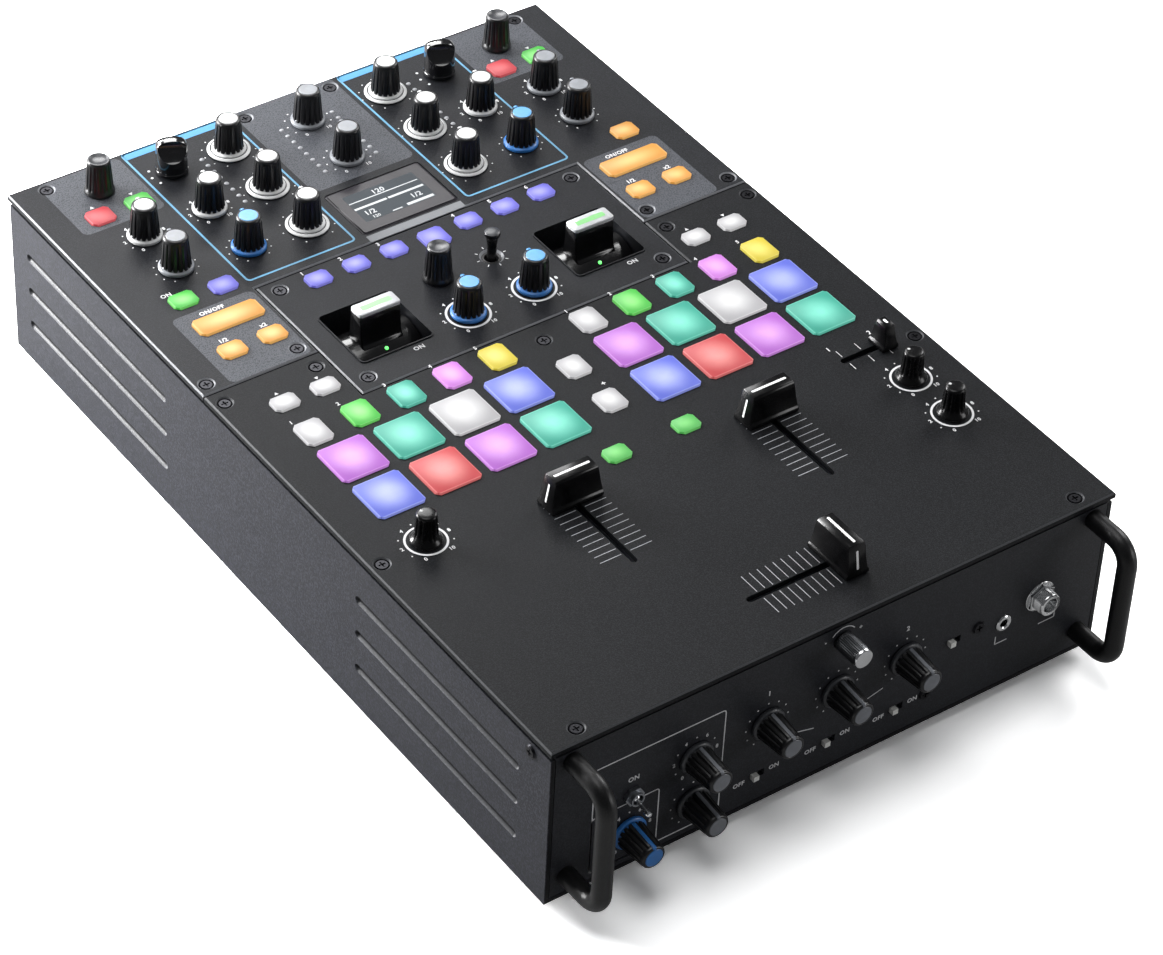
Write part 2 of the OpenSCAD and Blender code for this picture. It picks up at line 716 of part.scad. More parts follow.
module jack_ring() {
    depth = 12;
    difference() {
        union() {
            translate([0, 0, -panel_t - depth])
                cylinder(h = depth + panel_t + 0.01, r = small_jack_r + 1.2);
            cylinder(h = 0.8, r1 = small_jack_r + 2, r2 = small_jack_r + 1.4);
            translate([-4, -4, -panel_t - depth]) cube([8, 8, depth - 0.3]);
        }
        translate([0, 0, -panel_t - depth + 2]) cylinder(h = depth + panel_t, r = small_jack_r);
    }
}

module xlr_flange() {
    difference() {
        union() {
            linear_extrude(1.4) rounded_rect(26, 30, 3);
            translate([0, 0, -16]) cylinder(h = 17, r = xlr_barrel_r);
        }
        translate([0, 0, -14]) cylinder(h = 20, r = 9.6);
        for (a = [-1, 1]) translate([a * 9.8, a * 11.8, -1]) cylinder(h = 4, r = 1.6);
    }
}

module xlr_male() {
    xlr_flange();
    for (a = [0, 90, 180]) rotate([0, 0, a]) translate([4.9, 0, -14.5]) cylinder(h = 12, r = 1.2);
}

module combo_socket() {
    xlr_flange();
    difference() {
        translate([0, 0, -14.5]) cylinder(h = 13.5, r = 9.2);
        translate([0, 0, -12.5]) cylinder(h = 14, r = 3.3);
        for (a = [30, 150, 270]) rotate([0, 0, a]) translate([6.4, 0, -12.5]) cylinder(h = 14, r = 1.4);
    }
}

module rca_pair() {
    for (z = [-7, 7]) translate([0, z, 0]) {
        difference() {
            union() {
                translate([0, 0, -panel_t - 9.9]) cylinder(h = panel_t + 10, r = rca_base_r);
                cylinder(h = socket_reach - end_overhang + 0.8, r = 4.15);
            }
            translate([0, 0, 1.5]) cylinder(h = socket_reach, r = 3.5);
        }
        difference() {
            translate([0, 0, 1.4]) cylinder(h = socket_reach - 3, r = 2.8);
            translate([0, 0, 2]) cylinder(h = socket_reach, r = 1.6);
        }
    }
    translate([-6, -13, -panel_t - 10]) cube([12, 26, 10]);
}

module usb_port() {
    difference() {
        translate([-6, -5.5, -14]) cube([12, 11, 15]);
        translate([-4.3, -3.9, -12]) cube([8.6, 7.8, 14]);
    }
    translate([-2.8, -1.6, -13]) cube([5.6, 3.2, 12]);
}

module power_inlet() {
    difference() {
        union() {
            linear_extrude(1.8) rounded_rect(33, 26, 3);
            translate([0, 0, -20]) linear_extrude(21) rounded_rect(27.4, 20.4, 3);
        }
        translate([0, 0, -17]) linear_extrude(20) polygon([
            [-12, -8], [12, -8], [12, 4], [8, 8], [-8, 8], [-12, 4]]);
    }
    for (p = [[-7, -1.5], [7, -1.5], [0, 2.8]]) translate([p[0] - 1, p[1] - 2, -18]) cube([2, 4, 15]);
}

module rocker_bezel() {
    difference() {
        union() {
            linear_extrude(1.4) rounded_rect(24, 17.4, 1.5);
            translate([0, 0, -14]) linear_extrude(15) square([19.6, 13.2], center = true);
        }
        translate([0, 0, -9]) linear_extrude(12) square([17, 10.4], center = true);
    }
}

module rear_sockets() {
    color("#b9bab8") in_frame() {
        for (x = [xlr_x[0], xlr_x[1]]) on_rear([x, xlr_row]) xlr_male();
        for (x = [xlr_x[2], xlr_x[3]]) on_rear([x, xlr_row]) combo_socket();
        for (x = trs_x) on_rear([x, rear_row]) jack(big_jack_r, jack_barrel_r, 3.5, 6.6);
        for (x = rca_x) on_rear([x, rear_row]) rca_pair();
        for (x = usb_x) on_rear([x, xlr_row + 4]) usb_port();
        on_rear(inlet_at) power_inlet();
        on_rear(rocker_at) rocker_bezel();
        for (x = ground_x) on_rear([x, rear_row]) ground_post();
    }
}

module ground_post() {
    translate([0, 0, -panel_t - 3]) cylinder(h = panel_t + 5, r = screw_r);
    difference() {
        translate([0, 0, 1]) cylinder(h = 6, r = 4);
        for (a = [0:30:330]) rotate([0, 0, a]) translate([4.2, 0, 0]) cylinder(h = 8, r = 0.5);
    }
    cylinder(h = 1.01, r = 3);
}

// Pots, faders and boards

module pot_unit(t, w = pot_w) {
    difference() {
        union() {
            translate([-w / 2, -w / 2, -t - pot_depth]) cube([w, w, pot_h]);
            translate([0, 0, -t - pot_drop - 0.01]) cylinder(h = t + pot_drop + 0.01, r = bush_r);
        }
        translate([0, 0, -t - shaft_reach - 1.2]) cylinder(h = t + shaft_reach + 2, r = bush_bore);
    }
}

module fader_unit(travel) {
    difference() {
        translate([-travel / 2 - 11, -7, -plate_t - 10]) cube([travel + 22, 14, 10]);
        translate([-(travel + stem_w) / 2 - 1, -slot_w / 2, -plate_t - 8])
            cube([travel + stem_w + 2, slot_w, 9]);
    }
}

module toggle_body() {
    difference() {
        union() {
            translate([-4, -6, -panel_t - 9]) cube([8, 12, 9]);
            translate([0, 0, -panel_t]) cylinder(h = panel_t + 3.5, r = toggle_bush_r);
            cylinder(h = 1.6, r = 4.3, $fn = 6);
        }
        translate([0, 0, -panel_t - 3]) cylinder(h = panel_t + 8, r = 2.3);
    }
}

module slide_switch_body() {
    difference() {
        translate([-6, -3, -panel_t - 6]) cube([12, 6, 6]);
        translate([-3.3, -1.6, -panel_t - 3]) cube([6.6, 3.2, 4]);
    }
}

module control_units() {
    color("#8c9096") in_frame() {
        for (p = concat(mixer_pots, fx_pots, small_pots)) on_plate(p) pot_unit(plate_t);
        for (p = front_pots) on_front(p) pot_unit(panel_t);
        on_front(tension_at) pot_unit(panel_t, 8.4);
        for (side = [-1, 1]) on_plate([side * fader_x, fader_mid]) rotate([0, 0, 90])
            fader_unit(fader_travel);
        on_plate([0, crossfader_y]) fader_unit(fader_travel);
        on_plate([(cue_slider_x[0] + cue_slider_x[1]) / 2, row_cue_slider]) small_fader_unit();
        on_front(mic_switch_at) toggle_body();
        for (p = concat(reverse_at, [split_cue_at])) on_front(p) slide_switch_body();
        on_plate([beat_x, row_beat]) beat_switch_body();
    }
}

module small_fader_unit() {
    difference() {
        translate([-cue_travel / 2 - 4.5, -4, -plate_t - 8]) cube([cue_travel + 9, 8, 8]);
        translate([-(cue_travel + stem_w) / 2 - 1, -slot_w / 2, -plate_t - 6])
            cube([cue_travel + stem_w + 2, slot_w, 7]);
    }
}

module beat_switch_body() {
    difference() {
        translate([-5, -5, -plate_t - pot_depth]) cube([10, 10, pot_depth]);
        translate([0, 0, -plate_t - 7]) cylinder(h = 8, r = 3);
    }
}

module board_tact(keys) {
    for (k = keys) translate([k[0], k[1], board_z + board_t - 0.01])
        translate([-3, -3, 0]) cube([6, 6, tact_h]);
}

module circuit_boards() {
    color("#1f5a3a") in_frame() {
        translate([0, 0, board_z]) linear_extrude(board_t) difference() {
            square_from(-board_edge, split_y + 3, 2 * board_edge, body_d - split_y - 19);
            square_from(-fx_half_w - 2, split_y - 2, 2 * fx_half_w + 4, fx_top - split_y + 8);
        }
        translate([0, 0, board_z]) linear_extrude(board_t) difference() {
            square_from(-fx_half_w + 2, fx_bottom + 4, 2 * fx_half_w - 4, fx_top - fx_bottom - 2);
            for (side = [-1, 1]) translate([side * paddle_x, row_paddle])
                square(well_w + 2 * well_wall + 2, center = true);
        }
        translate([0, 0, board_z]) linear_extrude(board_t) {
            square_from(-board_edge, row_pads[1] - 13, 2 * board_edge, fx_bottom + 2 - row_pads[1] + 13);
            for (side = [0, 1]) mirror([side, 0])
                square_from(fx_half_w + 3, fx_bottom, board_edge - fx_half_w - 3, split_y - fx_bottom - 3);
            square_from(-board_edge, row_sampler - 9, 24, 30);
            square_from(board_edge - 33, row_cue_level - 9, 33, 85);
            square_from(-25, row_doubles - 8, 50, 24);
        }
        board_tact(concat(mixer_keys_at, fx_keys_at, lower_keys_at, pads_at));
        translate([mic_x - 18, front_y + panel_t + pot_depth, wall_t + 4])
            cube([contour_x[2] - mic_x + 56.5, board_t, under_z - wall_t - 18]);
        main_board();
    }
}

// The main board on its posts, with the power supply standing in its cut-out
module main_board() {
    top = wall_t + board_lift + board_t - 0.01;
    for (x = [-1, 1], y = [main_board_y + 10, rear_y - 30]) translate([x * (half_w - 37), y, wall_t])
        cylinder(h = board_lift + 0.01, r = 3);
    difference() {
        translate([-main_board_x, main_board_y, wall_t + board_lift])
            cube([2 * main_board_x, rear_y - main_board_y - 20, board_t]);
        translate([supply_at[0] - 4, supply_at[1] - 4, wall_t])
            cube([supply_w + 8, supply_d + 8, 3 * board_lift]);
    }
    translate([supply_at[0], supply_at[1], wall_t]) cube([supply_w, supply_d, supply_h]);
    for (i = [0:3]) translate([i * 24 - 10, supply_at[1] + 16 + 20 * (i % 2), top])
        cube([chip_w, chip_w, 3]);
    for (i = [0:5]) translate([i * 15 - 20, supply_at[1] + supply_d + 14, top]) cylinder(h = 12, r = 4);
}

// Keys and pads

// A key cap with broken top edges, a retaining foot under the plate and a stem to its switch
module key_cap(w, d, cut, rise) {
    top = rise;
    chamfer = 0.5;
    foot = -plate_t - run_gap;
    intersection() {
        translate([0, 0, foot]) linear_extrude(top - foot) cut_rect(w, d, cut);
        rotate([90, 0, 0]) linear_extrude(d + 2, center = true) key_profile(w, top, chamfer, foot);
        rotate([90, 0, 90]) linear_extrude(w + 2, center = true) key_profile(d, top, chamfer, foot);
    }
    translate([0, 0, foot - key_foot_t]) linear_extrude(key_foot_t + 0.01)
        cut_rect(w + 1.6, d + 1.6, cut + 0.5);
    translate([0, 0, foot - key_foot_t - stem_len]) cylinder(h = stem_len + 0.01, r = 1.6);
}

module key_profile(w, top, c, foot) polygon([
    [-w / 2, foot], [w / 2, foot], [w / 2, top - c * 0.7], [w / 2 - c, top],
    [-w / 2 + c, top], [-w / 2, top - c * 0.7]]);

module mixer_keys() {
    color("#c79a48") in_frame() for (k = concat(mixer_keys_at, fx_keys_at))
        on_plate(k) key_cap(k[2], k[3], key_cut, key_rise);
}

module pad_plate_keys() {
    color("#e4e5ea") in_frame() for (k = lower_keys_at) on_plate(k) key_cap(k[2], k[3], key_cut, key_rise);
}

module performance_pads() {
    color("#8a7be0") in_frame() for (k = pads_at) on_plate(k) key_cap(k[2], k[3], pad_cut, pad_rise);
}

// Knobs

module shaft(t) translate([0, 0, -t - shaft_reach]) cylinder(h = t + shaft_reach + 3, r = shaft_r);

module fluted_body(foot_r, top_r, h, count) {
    difference() {
        rotate_extrude()
            polygon([[0, 0], [foot_r, 0], [foot_r, 0.6], [top_r, h - 0.7], [top_r - 0.7, h], [0, h]]);
        for (i = [0:count - 1]) rotate([0, 0, (i + 0.5) * 360 / count])
            translate([foot_r + 0.25, 0, 1.4]) rotate([0, -atan((foot_r - top_r) / h), 0])
                cylinder(h = h, r = 0.65);
    }
}

module pointer_spine(h) {
    rotate([90, 0, 90]) linear_extrude(1.3, center = true) polygon([
        [knob_foot_r - 1, 1], [knob_foot_r + 0.5, 1], [knob_top_r + 0.5, h - 0.9], [knob_top_r + 0.1, h + 0.15],
        [knob_top_r - 2, h + 0.15]]);
}

module pot_knob(t = plate_t, wide = false) {
    shaft(t);
    translate([0, 0, foot_lift]) {
        translate([0, 0, 1.2]) {
            fluted_body(knob_foot_r, knob_top_r, knob_h - 1.6, flutes);
            pointer_spine(knob_h - 1.6);
            translate([0, 0, knob_h - 1.7]) cylinder(h = 0.5, r1 = knob_top_r - 0.6, r2 = knob_top_r - 0.8);
        }
        rotate_extrude()
            polygon([
                [0, 0], [skirt_r, 0], [skirt_r, 1.1], [skirt_r - 0.5, 1.8],
                [knob_foot_r - 0.2, 2.4], [0, 2.4]
            ]);
        if (wide) rotate_extrude()
            polygon([[0, 0], [ring_r, 0], [ring_r, 0.5], [skirt_r + 0.5, 1], [0, 1]]);
    }
}

module encoder_knob() {
    shaft(plate_t);
    translate([0, 0, foot_lift]) difference() {
        union() {
            fluted_body(5.8, 4.9, encoder_h, flutes);
            rotate_extrude() polygon([[0, 0], [6.4, 0], [6.4, 1.2], [5.9, 2.4], [0, 2.4]]);
        }
        translate([0, 0, encoder_h + 8.6]) sphere(r = 9.3);
    }
}

module selector_knob() {
    shaft(plate_t);
    translate([0, 0, foot_lift]) difference() {
        rotate_extrude() polygon([
            [0, 0], [selector_r, 0], [selector_r, selector_h - 2], [selector_r - 0.7, selector_h - 0.6],
            [selector_r - 2, selector_h], [0, selector_h]]);
        for (side = [-1, 1]) translate([0, side * 10.6, selector_h + 0.5]) rotate([0, 90, 0])
            cylinder(h = 30, r = 8.2, center = true);
    }
}

module small_knob() {
    shaft(plate_t);
    translate([0, 0, foot_lift]) difference() {
        rotate_extrude() polygon([
            [0, 0], [small_knob_r, 0], [small_knob_r, 1], [5.4, 2.2], [4.8, 4], [4.2, small_knob_h - 1],
            [3.4, small_knob_h], [0, small_knob_h]
        ]);
        for (a = [0:30:330]) rotate([0, 0, a + 10]) translate([5.1, 0, 4.2])
            cylinder(h = small_knob_h, r = 0.7);
    }
}

module knurled_knob() {
    shaft(panel_t);
    translate([0, 0, foot_lift]) difference() {
        rotate_extrude() polygon([
            [0, 0], [tension_r, 0], [tension_r, tension_h - 0.5],
            [tension_r - 0.5, tension_h], [0, tension_h]
        ]);
        for (a = [0:15:345]) rotate([0, 0, a]) translate([tension_r + 0.25, 0, -1])
            cylinder(h = tension_h + 2, r = 0.5);
    }
}

module top_knob(at, wide, tint) color(tint) in_frame() on_plate(at) pot_knob(plate_t, wide);

module front_knob(at, tint) color(tint) in_frame() on_front(at) pot_knob(panel_t, false);

module deck1_high_knob() top_knob([-eq_x, row_high], true, "white");
module deck1_mid_knob() top_knob([-eq_x, row_mid], true, "white");
module deck1_low_knob() top_knob([-eq_x, row_low], true, "white");
module deck1_level_knob() top_knob([-level_x, row_mid], false, "white");
module deck1_filter_knob() top_knob([-level_x, row_low], false, "#3f7fc4");
module deck2_high_knob() top_knob([eq_x, row_high], true, "white");
module deck2_mid_knob() top_knob([eq_x, row_mid], true, "white");
module deck2_low_knob() top_knob([eq_x, row_low], true, "white");
module deck2_level_knob() top_knob([level_x, row_mid], false, "white");
module deck2_filter_knob() top_knob([level_x, row_low], false, "#3f7fc4");
module main_level_knob() top_knob([0, row_high], false, "#9a9ca0");
module booth_level_knob() top_knob([0, row_mid], false, "#9a9ca0");
module mic_level_knob() top_knob([-outer_x, row_mic], false, "white");
module mic_tone_knob() top_knob([-outer_x, row_tone], false, "#9a9ca0");
module session_in_knob() top_knob([outer_x, row_mic], false, "#9a9ca0");
module session_out_knob() top_knob([outer_x, row_tone], false, "#9a9ca0");
module deck1_depth_knob() top_knob([-depth_x, row_depth], false, "#3f7fc4");
module deck2_depth_knob() top_knob([depth_x, row_depth], false, "#3f7fc4");

module deck1_source_selector() color("#121214") in_frame() on_plate([-selector_x, row_high]) selector_knob();
module deck2_source_selector() color("#121214") in_frame() on_plate([selector_x, row_high]) selector_knob();
module deck1_scroll_encoder() color("#17171a") in_frame() on_plate([-outer_x, row_scroll]) encoder_knob();
module deck2_scroll_encoder() color("#17171a") in_frame() on_plate([outer_x, row_scroll]) encoder_knob();
module fx_time_encoder() color("#17171a") in_frame() on_plate([time_x, row_time]) encoder_knob();
module sampler_knob() color("#121214") in_frame() on_plate(small_pots[0]) small_knob();
module cue_mix_knob() color("#121214") in_frame() on_plate(small_pots[1]) small_knob();
module cue_level_knob() color("#121214") in_frame() on_plate(small_pots[2]) small_knob();

module front_mic1_knob() front_knob(front_pots[0], "#3f7fc4");
module front_mic2_knob() front_knob(front_pots[1], "#6f7378");
module front_tone_knob() front_knob(front_pots[2], "#6f7378");
module deck1_contour_knob() front_knob(front_pots[3], "#6f7378");
module crossfader_contour_knob() front_knob(front_pots[4], "#6f7378");
module deck2_contour_knob() front_knob(front_pots[5], "#6f7378");
module tension_knob() color("#b5b7ba") in_frame() on_front(tension_at) knurled_knob();

// Paddles and levers

module paddle() {
    translate([0, 0, -pivot_drop]) {
        difference() {
            rotate([0, 90, 0]) cylinder(h = drum_w, r = drum_r, center = true);
            translate([-drum_w, -2 * drum_r, -3 * drum_r]) cube([2 * drum_w, 4 * drum_r, 3 * drum_r - 2.5]);
        }
        rotate([0, 90, 0]) cylinder(h = well_w + 2 * well_wall - 0.4, r = paddle_pin_r, center = true);
        intersection() {
            translate([0, 0, drum_r - 1.5]) rotate([90, 0, 90]) linear_extrude(drum_w, center = true)
                polygon([
                [-6.4, 0], [6.4, 0], [4.2, 6], [3.7, blade_h + 3.6], [2.9, blade_h + 4.5],
                [-2.9, blade_h + 4.5], [-3.7, blade_h + 3.6], [-4.2, 6]]);
            rotate([90, 0, 0]) linear_extrude(40, center = true) polygon([
                [-blade_w / 2 - 1, 0], [blade_w / 2 + 1, 0], [blade_w / 2, drum_r + blade_h + 2],
                [blade_w / 2 - 1, drum_r + blade_h + 3], [-blade_w / 2 + 1, drum_r + blade_h + 3],
                [-blade_w / 2, drum_r + blade_h + 2]]);
        }
    }
}

module deck1_fx_paddle() color("#131315") in_frame() on_plate([-paddle_x, row_paddle]) paddle();
module deck2_fx_paddle() color("#131315") in_frame() on_plate([paddle_x, row_paddle]) paddle();

module beat_lever() {
    color("#131315") in_frame() on_plate([beat_x, row_beat]) translate([0, 0, -4]) {
        sphere(r = 2.6);
        rotate_extrude() polygon([
            [0, 0], [2, 0], [2, 9], [2.5, 13.6], [3.3, 15], [3.4, 16.2], [3, 17], [1.8, 17.3], [0, 17.4]]);
    }
}

module mic_toggle() {
    color("#d0d1d2") in_frame() on_front(mic_switch_at) translate([0, 0, 1.6]) rotate([toggle_lean, 0, 0]) {
        sphere(r = 1.8);
        rotate_extrude()
            polygon([[0, 0], [0.9, 0], [0.9, 4], [1.4, 8.5], [1.2, 9.2], [0.6, 9.6], [0, 9.6]]);
    }
}

module front_slide_switches() {
    color("#d8d8d4") in_frame() for (p = concat(reverse_at, [split_cue_at])) on_front(p)
        translate([-1.65, 0, -panel_t - 2.5]) linear_extrude(panel_t + 4.5)
            square([2.5, 2.4], center = true);
}

module power_rocker() {
    color("#151518") in_frame() on_rear(rocker_at) translate([0, 0, -rocker_pivot]) {
        rotate([90, 0, 0]) cylinder(h = 9.6, r = 1.5, center = true);
        rotate([90, 0, 0]) linear_extrude(9.6, center = true) polygon([
            [-7, -1], [7, -1], [7.2, 3], [0, 3.9], [-7.2, 5.6]]);
    }
}

// Fader caps

// A cap straddling a slot that runs along X
module fader_cap(len, w, h) {
    foot = run_gap;
    difference() {
        intersection() {
            rotate([90, 0, 0]) linear_extrude(len + 2, center = true) polygon([
                [-w / 2, foot], [w / 2, foot], [w / 2, foot + 2], [w / 2 - 1.2, h - 1.2], [w / 2 - 1.9, h],
                [-w / 2 + 1.9, h], [-w / 2 + 1.2, h - 1.2], [-w / 2, foot + 2]]);
            rotate([90, 0, 90]) linear_extrude(w + 2, center = true) polygon([
                [-len / 2, foot], [len / 2, foot], [len / 2, foot + 3], [len / 2 - 2.4, h - 0.4],
                [len / 2 - 2.9, h], [-len / 2 + 2.9, h], [-len / 2 + 2.4, h - 0.4], [-len / 2, foot + 3]]);
        }
        translate([0, 0, h]) cube([1.1, len - 7, 0.6], center = true);
    }
    translate([-stem_w / 2, -stem_t / 2, -plate_t - 5]) cube([stem_w, stem_t, plate_t + 6]);
}

module deck1_fader_cap() color("#161618") in_frame() on_plate([-fader_x, fader_mid + fader_rest])
    rotate([0, 0, 90]) fader_cap(cap_len, cap_w, cap_h);
module deck2_fader_cap() color("#161618") in_frame() on_plate([fader_x, fader_mid + fader_rest])
    rotate([0, 0, 90]) fader_cap(cap_len, cap_w, cap_h);
module crossfader_cap() color("#161618") in_frame() on_plate([fader_rest, crossfader_y])
    fader_cap(cap_len, cap_w, cap_h);
module cue_slider_cap() color("#161618") in_frame() on_plate([cue_slider_x[1], row_cue_slider])
    fader_cap(10, 8, 12);

chassis();
front_panel();
rear_panel();
mixer_plate();
fx_plate();
pad_plate();
front_handles();
rubber_feet();
panel_screws();
display_and_meters();
headphone_jacks();
rear_sockets();
control_units();
circuit_boards();
mixer_keys();
pad_plate_keys();
performance_pads();
deck1_high_knob();
deck1_mid_knob();
deck1_low_knob();
deck1_level_knob();
deck1_filter_knob();
deck2_high_knob();
deck2_mid_knob();
deck2_low_knob();
deck2_level_knob();
deck2_filter_knob();
deck1_source_selector();
deck2_source_selector();
main_level_knob();
booth_level_knob();
mic_level_knob();
mic_tone_knob();
session_in_knob();
session_out_knob();
deck1_scroll_encoder();
deck2_scroll_encoder();
fx_time_encoder();
deck1_depth_knob();
deck2_depth_knob();
beat_lever();
deck1_fx_paddle();
deck2_fx_paddle();
sampler_knob();
cue_mix_knob();
cue_level_knob();
deck1_fader_cap();
deck2_fader_cap();
crossfader_cap();
cue_slider_cap();
front_mic1_knob();
front_mic2_knob();
front_tone_knob();
deck1_contour_knob();
crossfader_contour_knob();
deck2_contour_knob();
tension_knob();
mic_toggle();
front_slide_switches();
power_rocker();
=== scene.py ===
import math
import bmesh
import bpy
from mathutils import Matrix, Vector


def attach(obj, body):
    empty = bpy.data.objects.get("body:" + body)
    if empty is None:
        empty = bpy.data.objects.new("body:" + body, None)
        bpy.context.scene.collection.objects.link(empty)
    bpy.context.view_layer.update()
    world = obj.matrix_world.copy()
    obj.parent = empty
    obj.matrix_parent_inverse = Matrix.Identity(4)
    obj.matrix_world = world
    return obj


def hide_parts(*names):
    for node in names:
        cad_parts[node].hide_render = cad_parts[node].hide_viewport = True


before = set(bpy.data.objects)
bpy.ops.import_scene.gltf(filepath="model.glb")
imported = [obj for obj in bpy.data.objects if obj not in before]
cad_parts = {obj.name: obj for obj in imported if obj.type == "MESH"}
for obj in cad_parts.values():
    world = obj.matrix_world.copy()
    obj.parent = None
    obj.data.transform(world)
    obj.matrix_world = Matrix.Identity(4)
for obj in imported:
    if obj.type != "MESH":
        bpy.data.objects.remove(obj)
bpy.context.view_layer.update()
print("frame loaded:", len(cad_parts), "nodes")

# millimetres, measured from the front edge of the plates and the underside of the tub
desk = {"depth": 392.6, "top": 78.4, "middle": 187.8, "foot": 5, "frontFace": 0.8, "rearFace": 391.8}
decks = ((1, -1), (2, 1))  # deck number and its side of the middle line


def moved(x, y, z=0):
    return Matrix.Translation((x, y, z))


def rolled(degrees, axis="Z"):
    return Matrix.Rotation(math.radians(degrees), 4, axis)


def place(x, y, z):
    return Matrix.Scale(0.001, 4) @ moved(x, y - desk["middle"], z + desk["foot"])


def onTop(x=0, y=0):
    return place(x, y, desk["top"])


def onFront(x=0, z=0):
    return place(x, desk["frontFace"], z) @ rolled(90, "X")


def behind(distance):
    return desk["depth"] - distance


# a point of a circle, counted in degrees from the X axis
def around(x, y, radius, degrees):
    angle = math.radians(degrees)
    return x + radius * math.cos(angle), y + radius * math.sin(angle)


def tint(code):
    parts = [int(code[i:i + 2], 16) / 255 for i in (1, 3, 5)]
    return tuple(c / 12.92 if c <= 0.04045 else ((c + 0.055) / 1.055) ** 2.4 for c in parts) + (1.0,)


def shade(color, factor):
    return tuple(min(1.0, c * factor) for c in color[:3]) + (1.0,)


# finishes

class Wire:
    def __init__(self, net, socket):
        self.net, self.socket = net, socket

    def combine(self, operation, *values):
        return self.net.node("Math", {"operation": operation}, dict(enumerate(values)))

    def __add__(self, other):
        return self.combine("ADD", self, other)

    def __sub__(self, other):
        return self.combine("SUBTRACT", self, other)

    def __rsub__(self, other):
        return self.combine("SUBTRACT", other, self)

    def __mul__(self, other):
        return self.combine("MULTIPLY", self, other)

    __radd__, __rmul__ = __add__, __mul__

    def __lt__(self, other):
        return self.combine("LESS_THAN", self, other)

    def __abs__(self):
        return self.combine("ABSOLUTE", self)

    def atLeast(self, other):
        return self.combine("MAXIMUM", self, other)

    def root(self):
        return self.combine("SQRT", self)


# a node tree: each node comes from one call with its kind, settings, inputs and the output that is read
class Net:
    def __init__(self, tree):
        self.nodes, self.links = tree.nodes, tree.links

    def feed(self, socket, value):
        if isinstance(value, Wire):
            self.links.new(value.socket, socket)
        else:
            socket.default_value = value

    def node(self, kind, settings=None, inputs=None, output=0):
        made = self.nodes.new("ShaderNode" + kind)
        for key, value in (settings or {}).items():
            setattr(made, key, value)
        for key, value in (inputs or {}).items():
            self.feed(made.inputs[key], value)
        return Wire(self, made.outputs[output])

    def smooth(self, value, low, high, toLow=0.0, toHigh=1.0):
        return self.node("MapRange", {"interpolation_type": "SMOOTHSTEP"},
                         {"Value": value, "From Min": low, "From Max": high, "To Min": toLow, "To Max": toHigh})

    # first for the room, second for the camera alone
    def forCamera(self, first, second):
        seen = self.node("LightPath", output="Is Camera Ray")
        return self.node("MixShader", inputs={0: seen, 1: first, 2: second})


class Finish(Net):
    def __init__(self, name, code, roughness=0.5, metallic=0.0, **shader):
        self.material = bpy.data.materials.new(name)
        self.material.use_nodes = True
        super().__init__(self.material.node_tree)
        self.color = self.material.diffuse_color = tint(code)
        self.shader = self.nodes["Principled BSDF"]
        self.set(Base_Color=self.color, Roughness=roughness, Metallic=metallic, **shader)
        self.position = self.node("TexCoord", output="Object")

    def set(self, **values):
        for key, value in values.items():
            self.feed(self.shader.inputs[key.replace("_", " ")], value)
        return self.material

    def noise(self, scale, detail=2.0, roughness=0.5, vector=None):
        return self.node("TexNoise", {}, {"Vector": vector or self.position, "Scale": scale,
                                                    "Detail": detail, "Roughness": roughness}, "Fac")

    def blend(self, factor, first, second):
        return self.node("Mix", {"data_type": "RGBA"}, {0: factor, 6: first, 7: second}, 2)

    def axis(self, name, source=None):
        return self.node("SeparateXYZ", {}, {0: source or self.position}, name)

    def bump(self, height, strength, distance):
        return self.node("Bump", {}, {"Strength": strength, "Distance": distance, "Height": height})


# 1 inside rounded rectangles (half distance of the centre from X = 0, centre y, half width, half depth, corner)
def zoneMask(finish, zones):
    across, along, total = abs(finish.axis("X")), finish.axis("Y"), None
    for x, y, halfWidth, halfDepth, corner in zones:
        reach = None
        for source, center, half in ((across, x, halfWidth), (along, y, halfDepth)):
            over = (abs(source - center / 1000) - (half - corner) / 1000).atLeast(0.0)
            reach = over * over if reach is None else reach + over * over
        inside = reach < (corner / 1000) ** 2
        total = inside if total is None else total + inside
    return total


# powder coat: fine orange peel, faint mottling, rubbed bare edges with a painted highlight on upward-facing slopes,
# painted shade in the grooves inside the side plane, grey printed zones
def powderCoat(name, code, roughness=0.5, peel=0.35, grain=2600, zones=(), zoneCode=None, edge=0.0, grooveShadePlane=0.0,
               **shader):
    finish = Finish(name, code, roughness, **shader)
    color = finish.color
    peelHeight = finish.noise(grain, 2.0, 0.55)
    slope = finish.axis("Z", finish.node("NewGeometry", output="True Normal"))
    # rubbed bare edges together with a painted highlight: slopes and bevels that face upwards are lightened towards a
    # pale grey as if they catch the light from above; edge sets how strong this is
    rubbedAndLitSlopes = finish.smooth(slope, 0.3, 0.5) * finish.smooth(slope, 0.85, 0.93, 1.0, 0.0) * edge
    cloud = finish.noise(14, 4.0, 0.6)
    speck = finish.smooth(finish.noise(grain * 0.7, 1.0), 0.44, 0.66)
    tone = finish.blend(cloud, shade(color, 0.74), shade(color, 0.92))
    if zones:
        pale = finish.blend(cloud, shade(tint(zoneCode), 0.93), shade(tint(zoneCode), 1.07))
        tone = finish.blend(zoneMask(finish, zones), tone, pale)
    tone = finish.blend(speck * 0.7, tone, shade(color, 2.3))
    # painted shade: inside the grooves, where |x| is less than the side plane, the coat turns near-black as if in
    # shadow; depth here is that painted shade
    if grooveShadePlane:
        depth = finish.smooth(abs(finish.axis("X")), grooveShadePlane - 0.0008, grooveShadePlane - 0.00005, 0.9, 0.0)
        tone = finish.blend(depth, tone, shade(color, 0.12))
    return finish.set(
        Base_Color=finish.blend(rubbedAndLitSlopes * 0.5, tone, tint("#b9bbc0")),
        Roughness=(roughness - 0.05 + cloud * 0.08 + speck * 0.06) * (1 - rubbedAndLitSlopes * 0.6),
        Normal=finish.bump(peelHeight, peel, 0.00012))


